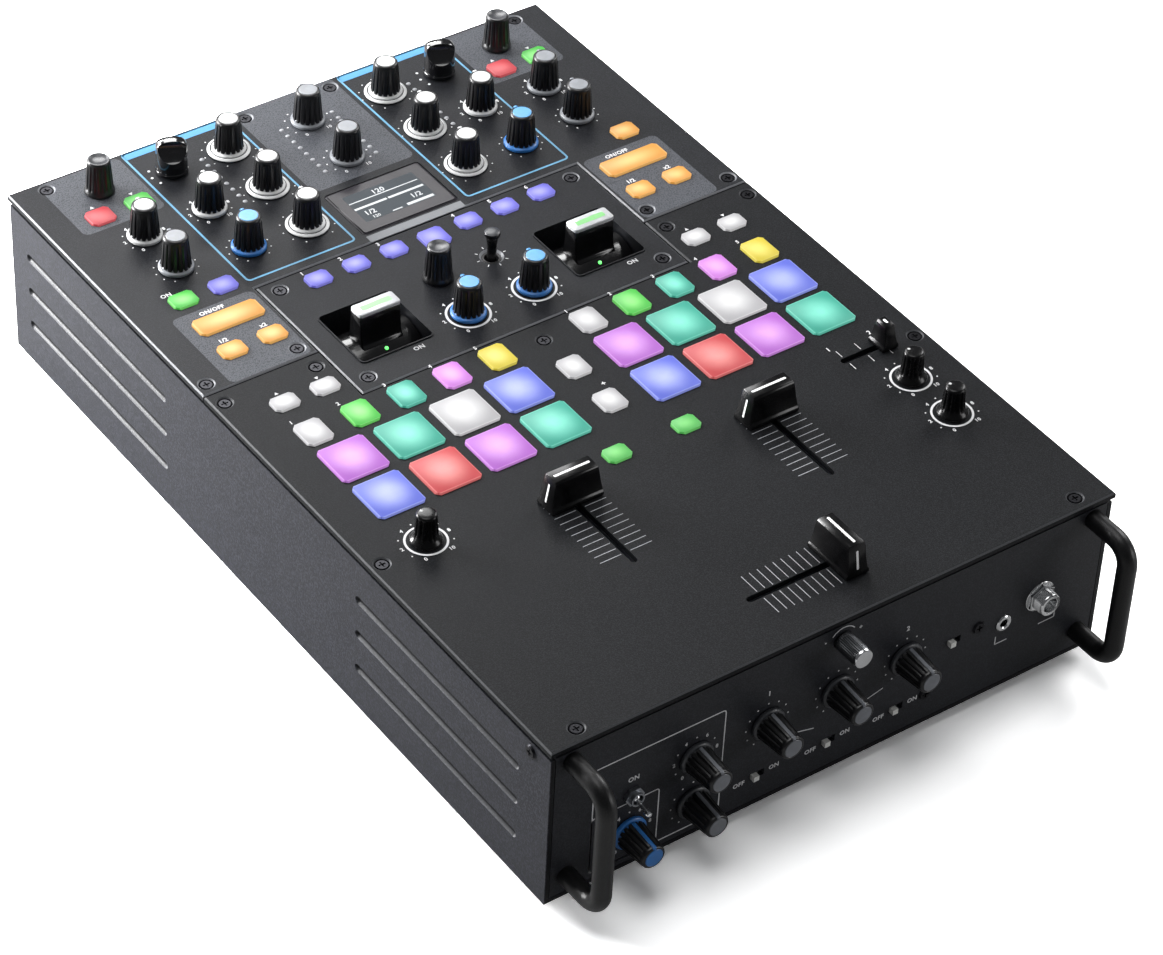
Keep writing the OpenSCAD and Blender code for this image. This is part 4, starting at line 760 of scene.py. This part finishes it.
def makeBeatLever():
    k, bm = beatLever, bmesh.new()
    turned(bm, [(1.0, -2.4), (2.0, -1.7), (2.6, 0), (2.3, 1.3), (k["neck"], 2.4), (k["neck"], 8.5), (2.15, 11),
                (2.45, 13.4), (2.9, 14.5), (3.25, 15.0), (k["head"], 15.6), (3.38, 16.1), (3.2, 16.6, 0, 1),
                (2.7, 16.9, 0, 1), (1.8, 17.1, 0, 1), (0.9, 17.16, 0, 1)], 56)
    bmesh.ops.translate(bm, vec=(0, 0, k["foot"]), verts=bm.verts)
    finishPiece("beat_lever_stick", bm, "beat_lever", [domeBlack, knobColors["steelGrey"]], leverAt,
                ("beat_lever",), 40)


# rubber gaiter that closes the lever's hole
def makeGaiter():
    bm = bmesh.new()
    rings = [(3.1, -2.2), (4.15, -2.2), (4.15, -1.0), (4.0, -0.75), (3.75, -0.8), (3.5, -0.6), (3.25, -0.65),
             (3.1, -0.8)]
    turned(bm, rings + rings[:1], 48, closed=False)
    bmesh.ops.remove_doubles(bm, verts=bm.verts, dist=0.0001)
    finishPiece("beat_lever_gaiter", bm, "housing", [mouldedPlastic("gaiterRubber", "#111113", 0.6, 3200, 0.3)],
                leverAt)


makeBeatLever()
makeGaiter()
print("paddles and beat lever made")


# lit keys and pads

capColors = {
    "red": ("#c9474f", "#ee7c80"), "green": ("#4fc24c", "#9cf58c"), "violet": ("#6f6cd6", "#aaa9fb"),
    "amber": ("#e6a04a", "#ffd488"), "white": ("#b6b5b8", "#f2f2f2"), "teal": ("#3fa893", "#8ef2da"),
    "pink": ("#cf7fdc", "#f3b9fb"), "yellow": ("#d9c53e", "#f5ea7c"), "purple": ("#b468cc", "#f0b4fc"),
    "blue": ("#6370d8", "#bcc6ff"), "crimson": ("#c8484c", "#fca29e"), "leaf": ("#55b757", "#86dd80"),
}
capFinishes = [litCap("lit" + name.capitalize(), edge, heart) for name, (edge, heart) in capColors.items()]
capOrder = list(capColors)
keyCap = {"rise": 0.95, "under": -2.9, "collar": 0.8, "corner": 1.5, "padCorner": 1.35}


# keys of one moving group: each is (x, distance from the rear edge, width, depth, colour)
def makeCaps(name, node, keys, corner=keyCap["corner"]):
    bm = bmesh.new()
    under, collar = keyCap["under"], 2 * keyCap["collar"]
    for x, back, width, depth, color in keys:
        before, at, slot = set(bm.verts), (x, behind(back)), capOrder.index(color)
        cushionBlock(bm, width, depth, under, keyCap["rise"], corner, 1, 0.34, 2, at, slot)
        cushionBlock(bm, width + collar, depth + collar, under - 1, under, corner, 1, 0.1, 1, at, slot)
        turned(bm, [(1.6, -6.5), (1.6, under - 0.9)], 16, center=at, slot=slot)
        face = bm.loops.layers.uv.get("Face") or bm.loops.layers.uv.new("Face")
        for polygon in facesOf(v for v in bm.verts if v not in before):
            for loop in polygon.loops:
                loop[face].uv = ((loop.vert.co.x - at[0]) / width + 0.5, (loop.vert.co.y - at[1]) / depth + 0.5)
    finishPiece(name, bm, node, capFinishes, onTop(), (node,), 25)


# the two keys at the left of each deck, the way to the other deck's, and the rows of keys over the pads
first, second, apart, keyWidth = -108.2, -89.6, 199.7, 11.2
modeKeys = {"starts": (-108.5, 22.1), "pitch": 21.6}
mixerKeys = [(first, 99.1, keyWidth, 9, "green"), (second, 99.1, keyWidth, 9, "violet"),
             (second + apart, 99.1, keyWidth, 9, "amber")]
for shift in (0, apart):
    mixerKeys += [(shift + first, 33.6, keyWidth, 10, "red"), (shift + second, 33.6, keyWidth, 10, "green"),
                  (shift - 98.9, 118.4, 29.8, 10.5, "amber"), (shift + first, 136.6, keyWidth, 9, "amber"),
                  (shift + second, 136.6, keyWidth, 9, "amber")]
mixerKeys += [(0, 118.3, 11.6, 11.6, "violet") if i == 0 else (i * 18.3, 116.2, 10.7, 8.6, "violet")
              for i in range(-3, 4)]
makeCaps("mixer_key_caps", "mixer_keys", mixerKeys)

lowerKeys = [(0, 217.9, 11, 12.5, "white"), (0, 242.6, 11, 12.5, "white"), (-16.6, 270.3, 10.8, 8.6, "leaf"),
             (16.6, 270.3, 10.8, 8.6, "leaf")]
lowerKeys += [(start + i * modeKeys["pitch"], 196.6, 11.8, 14, color) for start in modeKeys["starts"]
              for i, color in enumerate(("white", "green", "teal", "pink", "yellow"))]
lowerKeys += [(x, 175.4, keyWidth, 8.5, "white") for x in (first, second, first + apart, second + apart)]
makeCaps("pad_plate_key_caps", "pad_plate_keys", lowerKeys)

padRows = ((218.2, ("purple", "teal", "white", "blue")), (243.2, ("blue", "crimson", "purple", "teal")))
pads = [(start + i * 25.9, back, 21.1, 21.5, color)
        for back, colors in padRows for start in (-104.2, 26.5) for i, color in enumerate(colors)]
makeCaps("performance_pad_caps", "performance_pads", pads, keyCap["padCorner"])
print("keys and pads made:", len(mixerKeys) + len(lowerKeys) + len(pads))


# printed scales and lines

inks = [ink("inkWhite", "#cdcdcf"), ink("inkGrey", "#9fa1a6"), ink("inkBlue", "#5790b2"), ink("inkSky", "#3f84b6"),
        ink("inkPale", "#66686c")]
white, grey, blue, sky, pale = range(5)
printSet = {"frameLine": 0.9, "frontLine": 0.5, "markLine": 0.4, "scaleLine": 0.27, "scalePitch": 3.72,
            "scaleMarks": 11, "thick": 0.06, "sunk": 0.01, "dialSweep": 292, "dialSteps": 10, "dialFigure": 2.5,
            "dot": 0.33, "frontDot": 0.36, "knobDial": 9.1, "eqDial": 11.3, "frontDial": 9.9, "figure": 3.0}


class PrintSheet:
    def __init__(self):
        self.bm = bmesh.new()

    def rect(self, x0, y0, x1, y1, slot=white):
        verts = bmesh.ops.create_grid(self.bm, x_segments=1, y_segments=1, size=0.5)["verts"]
        bmesh.ops.scale(self.bm, vec=(x1 - x0, y1 - y0, 1), verts=verts)
        bmesh.ops.translate(self.bm, vec=((x0 + x1) / 2, (y0 + y1) / 2, 0), verts=verts)
        paint(facesOf(verts), slot)
        return verts

    # keeps a line of the given width along the rim of flat faces
    def hollow(self, faces, line):
        bmesh.ops.inset_region(self.bm, faces=faces, thickness=line, use_boundary=True, use_even_offset=True)
        bmesh.ops.delete(self.bm, geom=faces, context="FACES")

    # a line frame with round corners
    def outline(self, x0, y0, x1, y1, corner, line, slot):
        verts = roundOff(self.bm, self.rect(x0, y0, x1, y1, slot), corner, 4, "VERTICES")["verts"]
        self.hollow(facesOf(verts), line)

    def disc(self, x, y, radius, segments=10, slot=white, turn=0):
        verts = bmesh.ops.create_circle(self.bm, cap_ends=True, segments=segments, radius=radius,
                                        matrix=moved(x, y) @ rolled(turn))["verts"]
        faces = facesOf(verts)
        paint(faces, slot)
        return faces

    def ring(self, x, y, outer, inner):
        self.hollow(self.disc(x, y, outer, 72), outer - inner)

    # a straight mark between two points
    def stroke(self, x0, y0, x1, y1, width, slot=white):
        length, angle = math.hypot(x1 - x0, y1 - y0), math.atan2(y1 - y0, x1 - x0)
        verts = self.rect(-length / 2, -width / 2, length / 2, width / 2, slot)
        bmesh.ops.transform(self.bm, verts=verts, matrix=moved((x0 + x1) / 2, (y0 + y1) / 2)
                            @ Matrix.Rotation(angle, 4, "Z"))

    # an arrow head that points left at 90, right at -90
    def triangle(self, x, y, size, angle):
        self.disc(x, y, size, 3, turn=angle - 90)

    def figures(self, text, x, y, size=printSet["figure"], bold=0.022):
        curve = bpy.data.curves.new("figures", "FONT")
        curve.body, curve.size, curve.align_x, curve.align_y = text, size, "CENTER", "CENTER"
        curve.resolution_u, curve.offset, curve.space_character = 2, bold * size, 1.06
        mesh = evaluated(stand("figures", curve))
        mesh.transform(moved(x, y))
        count = len(self.bm.faces)
        self.bm.from_mesh(mesh)
        self.bm.faces.ensure_lookup_table()
        paint(self.bm.faces[count:], white)

    # dots round a knob, clockwise from its lowest end, with plain numbers at some of them
    def dial(self, x, y, radius, dot=printSet["dot"], numbers=()):
        sweep, steps = printSet["dialSweep"], printSet["dialSteps"]
        for i in range(steps + 1):
            at = around(x, y, radius, 90 + sweep / 2 - sweep * i / steps)
            if i in numbers:
                self.figures(str(i), *at, printSet["dialFigure"])
            else:
                self.disc(*at, dot)

    def finish(self, name, where):
        raised(self.bm, self.bm.faces[:], printSet["thick"])
        finishPiece(name, self.bm, "housing", inks, where @ moved(0, 0, -printSet["sunk"]), angle=30)


evenSteps, endSteps = range(0, 11, 2), (0, 10)


def printMixerPlate():
    sheet, knobDial = PrintSheet(), printSet["knobDial"]
    for deck, side in decks:
        left, right = (-80, -27.5) if deck == 1 else (27, 79.3)
        sheet.outline(left, behind(102.6), right, behind(0.9), 2.2, printSet["frameLine"], blue)
        sheet.rect(left + 0.6, behind(5.6), right - 0.6, behind(1.0), sky)
        for line in ("high", "mid", "low"):
            sheet.dial(side * column["eq"], row[line], printSet["eqDial"])
        for across, line, numbers in (("level", "mid", evenSteps), ("level", "low", ()), ("outer", "mic", evenSteps),
                                      ("outer", "tone", ())):
            sheet.dial(side * column[across], row[line], knobDial, numbers=numbers)
        # source dots beside the selector
        for angle in (150, 180, 210):
            sheet.disc(*around(side * column["selector"], row["high"], 9.6, angle), 0.6, 14)
        left, right = (first, second) if deck == 1 else (first + apart, second + apart)
        for text, x, back in (("ON/OFF", (left + right) / 2 - 3, 110.5), ("1/2", left, 129.5), ("x2", right, 129.5)):
            sheet.figures(text, x, behind(back), bold=0.03)
        sheet.triangle(left, behind(26.4), 1.1, 90)
        sheet.triangle(right, behind(26.4), 1.1, -90)
    sheet.figures("ON", -112.5, behind(92.8))
    for line in ("high", "mid"):
        sheet.dial(0, row[line], 9.8, 0.4, endSteps)
    sheet.rect(-23.3, behind(107.1), 23.3, behind(102.8), pale)
    sheet.finish("mixer_plate_print", onTop())


def printFxPlate():
    sheet = PrintSheet()
    for i, x in enumerate((-55.2, -36.8, -18.4, 18.4, 36.8, 55.2)):
        sheet.figures(str(i + 1), x - 3.5, row["display"] - 23.6)
    for deck, side in decks:
        x, y = side * column["depth"], row["depth"]
        sheet.ring(x, y, 9.5, 8.5)
        sheet.dial(x, y, 11.2, 0.36, evenSteps)
        sheet.figures("ON", side * column["paddle"] + 7.5, row["paddle"] - 20.4, 3.1)
    # fan of strokes round the beat lever
    x, y = column["beat"], row["beat"]
    for angle in range(0, 360, 45):
        sheet.stroke(*around(x, y, 5.8, angle), *around(x, y, 7.0, angle), 0.35)
    sheet.finish("fx_plate_print", onTop())


def printPadPlate():
    sheet, line = PrintSheet(), printSet["scaleLine"]
    steps = [i * printSet["scalePitch"] for i in range(printSet["scaleMarks"])]
    for deck, side in decks:
        x, shift = side * column["fader"], apart * (deck - 1)
        for step in steps:
            for low, high in ((-12, -2.1), (2.1, 12)):
                sheet.stroke(x + low, 74 + step, x + high, 74 + step, line, grey)
        sheet.triangle(first + shift, behind(168.9), 1.0, 90)
        sheet.triangle(second + shift, behind(168.9), 1.0, -90)
        for i in range(5):
            sheet.figures(str(i + 1), modeKeys["starts"][deck - 1] + i * modeKeys["pitch"] - 4.2, behind(187.0), 2.7)
    for step in steps:
        for low, high in ((16, 25.4), (29.6, 39.5)):
            sheet.stroke(step - 18.6, low, step - 18.6, high, line, grey)
    y = row["cueSlider"]
    sheet.stroke(92, y, 92.01, y, 0.3)
    for x in (94.5, 103.9, 113.3):
        for side in (-1, 1):
            sheet.stroke(x, y + side * 2.4, x, y + side * 6.6, line)
    for text, x, up, size in (("1", 92.5, y + 9.0, 3.2), ("2", 113.3, y + 9.0, 3.2), ("+", 4.2, behind(232.4), 3.6)):
        sheet.figures(text, x, up, size)
    for knob in ("sampler", "cueMix", "cueLevel"):
        sheet.ring(column[knob], row[knob], 8.7, 7.8)
        sheet.dial(column[knob], row[knob], 10.6, 0.34, evenSteps)
    sheet.finish("pad_plate_print", onTop())


def printFrontPanel():
    sheet = PrintSheet()
    for right, top, corner in ((-52.5, 58.5, 1.6), (-81.5, 33.5, 1.4)):
        sheet.outline(-112.5, 5, right, top, corner, printSet["frontLine"], white)
    for node, x, z, skirt, cap in frontKnobs:
        numbered = node in ("front_mic1_knob", "front_mic2_knob")
        sheet.dial(x, z, printSet["frontDial"], printSet["frontDot"], evenSteps if numbered else ())
    for x in (-35, -1, 32):
        sheet.figures("OFF", x - 8.6, 14.3)
        sheet.figures("ON", x + 8.0, 15.7)
    for text, x, z, size in (("ON", -94, 44.8, 3.2), ("+", 9.2, 69.0, 3.0), ("-", -7.4, 69.0, 3.0),
                             ("1", -32.5, 56.0, 3.3), ("2", 33.5, 56.0, 3.3)):
        sheet.figures(text, x, z, size)
    # arc over the tension knob, in nine strokes
    arc = [around(tensionKnob["x"], tensionKnob["z"], 6.4, 145 - 12 * i) for i in range(10)]
    for start, stop in zip(arc, arc[1:]):
        sheet.stroke(*start, *stop, printSet["markLine"])
    # bracket that joins the three contour knobs, and the one round the two headphone sockets
    for ends in ((-24, 30, -9, 26), (24, 30, 9, 26)):
        sheet.stroke(*ends, printSet["markLine"])
    for ends in ((80, 24.5, 86, 24.5), (80, 24.5, 80, 28.5), (102, 24.5, 110, 24.5), (110, 24.5, 110, 32)):
        sheet.stroke(*ends, 0.45)
    sheet.finish("front_panel_print", onFront())


printMixerPlate()
printFxPlate()
printPadPlate()
printFrontPanel()
print("scales printed")


# display, meter lenses and front sockets

# the meter lenses are unlit LEDs; their faint emission is painted light that makes them read as pale dots
screenFinishes = [mouldedPlastic("screenGlass", "#2b292d", 0.2, depth=0.01, Specular_IOR_Level=0.08),
                  lamp("screenDark", "#4c5359", 0.6, 0.3, Specular_IOR_Level=0.05),
                  lamp("screenLight", "#dfe4e8", 0.5, 0.3), lamp("meterLens", "#b4b6bb", 0.12, 0.55),
                  brightMetal("screenEdge", "#a39a98", 0.25)]
glassSlot, darkSlot, lightSlot, lensSlot, edgeSlot = range(5)
screen = {"width": 46.6, "depth": 31, "glass": (45, 29.4), "lit": (34.6, 19.1), "shift": (-0.4, 0.85),
          "shine": 0.32, "marksUp": 0.38}
meters = {"columns": (-52.3, -13, 12.3, 51.3), "lamps": 8, "first": 21.6, "pitch": 4.9}


# title, two bars, two fractions with a bar and a plain number under them; x and y from the middle of the lit field
def screenMarks(x, y):
    marks = PrintSheet()
    for text, across, up, size in (("120", -1.6, 6.2, 3.9), ("1/2", -12.3, -4.6, 4.0), ("1/2", 10.4, -4.6, 4.0),
                                   ("120", -11.4, -8.1, 2.4)):
        marks.figures(text, x + across, y + up, size)
    for x0, y0, x1, y1 in ((-17.2, 3.75, 16.6, 4.3), (-17.2, -0.95, -1.5, 0.25), (-0.7, -0.95, 16.6, 0.25),
                           (3.6, -9.1, 16.6, -7.6), (-3.9, -9.1, 0.8, -8.5)):
        marks.rect(x + x0, y + y0, x + x1, y + y1)
    paint(marks.bm.faces, lightSlot)
    mesh = meshOf("marks", marks.bm)
    mesh.transform(moved(0, 0, screen["marksUp"]))
    return mesh


def makeDisplay():
    bm, at = bmesh.new(), (0, row["display"])
    width, depth = screen["width"], screen["depth"]
    cushionBlock(bm, width, depth, -2.5, -0.05, 1.4, 4, 0.2, 2, at)
    cushionBlock(bm, width + 5, depth + 5, -6.5, -2.5, 1, 1, 0.2, 1, at)
    before = set(bm.verts)
    cushionBlock(bm, *screen["glass"], -0.2, screen["shine"], 0.9, 3, 0.22, 1, at)
    for face in facesOf(v for v in bm.verts if v not in before):
        face.normal_update()
        if 0.2 < face.normal.z < 0.95:
            face.material_index = edgeSlot
    lit = (screen["shift"][0], at[1] + screen["shift"][1])
    cushionBlock(bm, *screen["lit"], 0.2, 0.36, 0.2, 2, 0.02, 1, lit, darkSlot)
    bm.from_mesh(screenMarks(*lit))
    for x in meters["columns"]:
        for i in range(meters["lamps"]):
            turned(bm, [(1.0, -3), (1.0, 0.05), (0.82, 0.22), (0.4, 0.34)], 16, slot=lensSlot,
                   center=(x, behind(meters["first"] + i * meters["pitch"])))
    finishPiece("display_and_meter_lenses", bm, "housing", screenFinishes, onTop(), ("display_and_meters",))


makeDisplay()

nickel = brightMetal("socketNickel", "#dadbdc", 0.18)
socketDark = mouldedPlastic("socketDark", "#0c0c0d", 0.5, 3200, 0.2)
headphones = {"large": (100.5, 40), "small": (83, 34.5), "threads": 7}


def makeHeadphoneSockets():
    bm = bmesh.new()
    # washer, hex nut, threaded barrel with a lipped mouth
    turned(bm, [(7.0, 0), (7.0, 0.35), (6.8, 0.5)], 48)
    turned(bm, [(6.5, 0.4), (6.6, 0.7), (6.6, 1.9), (6.2, 2.25)], 6)
    thread = [(5.0, -14), (5.0, 2.2)]
    for i in range(headphones["threads"]):
        z = 2.3 + i * 0.6
        thread += [(4.72, z), (5.0, z + 0.3)]
    turned(bm, thread + [(4.9, 6.6), (4.6, 7.0), (3.5, 7.0), (3.2, 6.7), (3.2, 2.0, 0, 1), (3.2, -12, 0, 1)], 48)
    cushionBlock(bm, 12, 12, -16, -2, 0.5, 1, 0.3, 1, slot=1)
    small = bmesh.new()
    turned(small, [(3.0, -13), (3.0, 0), (3.75, 0.02), (3.7, 0.45), (3.3, 0.8), (2.2, 0.8), (1.8, 0.5),
                   (1.8, -2, 0, 1), (1.8, -11, 0, 1)], 40)
    mesh = meshOf("smallSocket", small)
    mesh.transform(moved(*(b - a for a, b in zip(headphones["large"], headphones["small"]))))
    bm.from_mesh(mesh)
    finishPiece("headphone_socket_barrels", bm, "housing", [nickel, socketDark], onFront(*headphones["large"]),
                ("headphone_jacks",), 28)


makeHeadphoneSockets()
print("display and headphone sockets made")


# rear sockets: the carried solids, merged and given each part's own finish

rearFinishes = [brightMetal("flangeNickel", "#8e8f92", 0.26), socketDark, brightMetal("pinGold", "#d9b565", 0.2),
                mouldedPlastic("phonoWhite", "#e4e4e2", 0.35), mouldedPlastic("phonoRed", "#b5252b", 0.35),
                mouldedPlastic("usbWhite", "#d9dadc")]
flange, dark, gold, phonoWhite, phonoRed, usbWhite = range(6)
rear = {"xlr": (-52, -22), "combo": (30, 60), "xlrZ": 46, "booth": (-61, -45), "phono": (-27, -9, 9, 27, 45),
        "lowZ": 24, "phonoUp": 7, "usb": (86, 106), "usbZ": 50, "posts": (63, 75), "inlet": (-90, 26)}
# how far each socket and its parts reach from its centre, and how far out from the rear plate its parts lie
rearReach = {"xlr": 19, "xlrMouth": 9.65, "pins": 6.4, "booth": 8, "hole": 3.4, "phono": 7, "collar": 3.4,
             "pin": 1.7, "usb": 7, "tongue": (3, 1.8), "post": 5, "blades": (8.2, 7)}
rim, phonoRim, tongueDepth, pinDepths, bladeDepths = -2.2, -2.1, -0.5, (-14.4, -2), (-18.2, -2.9)
xlrLowest = 33


# finish of a face of the sockets, by its centre: across, up and out from the rear plate
def rearSlot(center):
    x, z, out = center.x * 1000, center.z * 1000 - desk["foot"], center.y * 1000 + desk["middle"] - desk["rearFace"]
    for at in rear["xlr"] + rear["combo"]:
        away = math.hypot(x - at, z - rear["xlrZ"])
        if away < rearReach["xlr"] and z > xlrLowest:
            if away > rearReach["xlrMouth"] and out > rim:
                return flange
            pin = at in rear["xlr"] and away < rearReach["pins"] and pinDepths[0] < out < pinDepths[1]
            return gold if pin else dark
    for at in rear["booth"]:
        away = math.hypot(x - at, z - rear["lowZ"])
        if away < rearReach["booth"]:
            return dark if away < rearReach["hole"] or out < rim else flange
    for at in rear["phono"]:
        for up, color in ((-rear["phonoUp"], phonoRed), (rear["phonoUp"], phonoWhite)):
            away = math.hypot(x - at, z - rear["lowZ"] - up)
            if away < rearReach["phono"]:
                if out < phonoRim:
                    return dark
                return flange if away > rearReach["collar"] else gold if away < rearReach["pin"] else color
    for at in rear["usb"]:
        across, up = abs(x - at), abs(z - rear["usbZ"])
        if max(across, up) < rearReach["usb"]:
            tongue = across < rearReach["tongue"][0] and up < rearReach["tongue"][1] and out < tongueDepth
            return usbWhite if tongue else flange
    for at in rear["posts"]:
        if math.hypot(x - at, z - rear["lowZ"]) < rearReach["post"]:
            return gold
    across, up = abs(x - rear["inlet"][0]), abs(z - rear["inlet"][1])
    blade = across < rearReach["blades"][0] and up < rearReach["blades"][1] and bladeDepths[0] < out < bladeDepths[1]
    return gold if blade else dark


def makeRearSockets():
    bm = bmesh.new()
    bm.from_mesh(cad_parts["rear_sockets"].data)
    bmesh.ops.remove_doubles(bm, verts=bm.verts, dist=0.000002)
    for face in bm.faces:
        face.material_index = rearSlot(face.calc_center_median())
    finishPiece("rear_socket_bodies", bm, "housing", rearFinishes, None, ("rear_sockets",), 25, recalc=False)


makeRearSockets()
print("rear sockets finished")
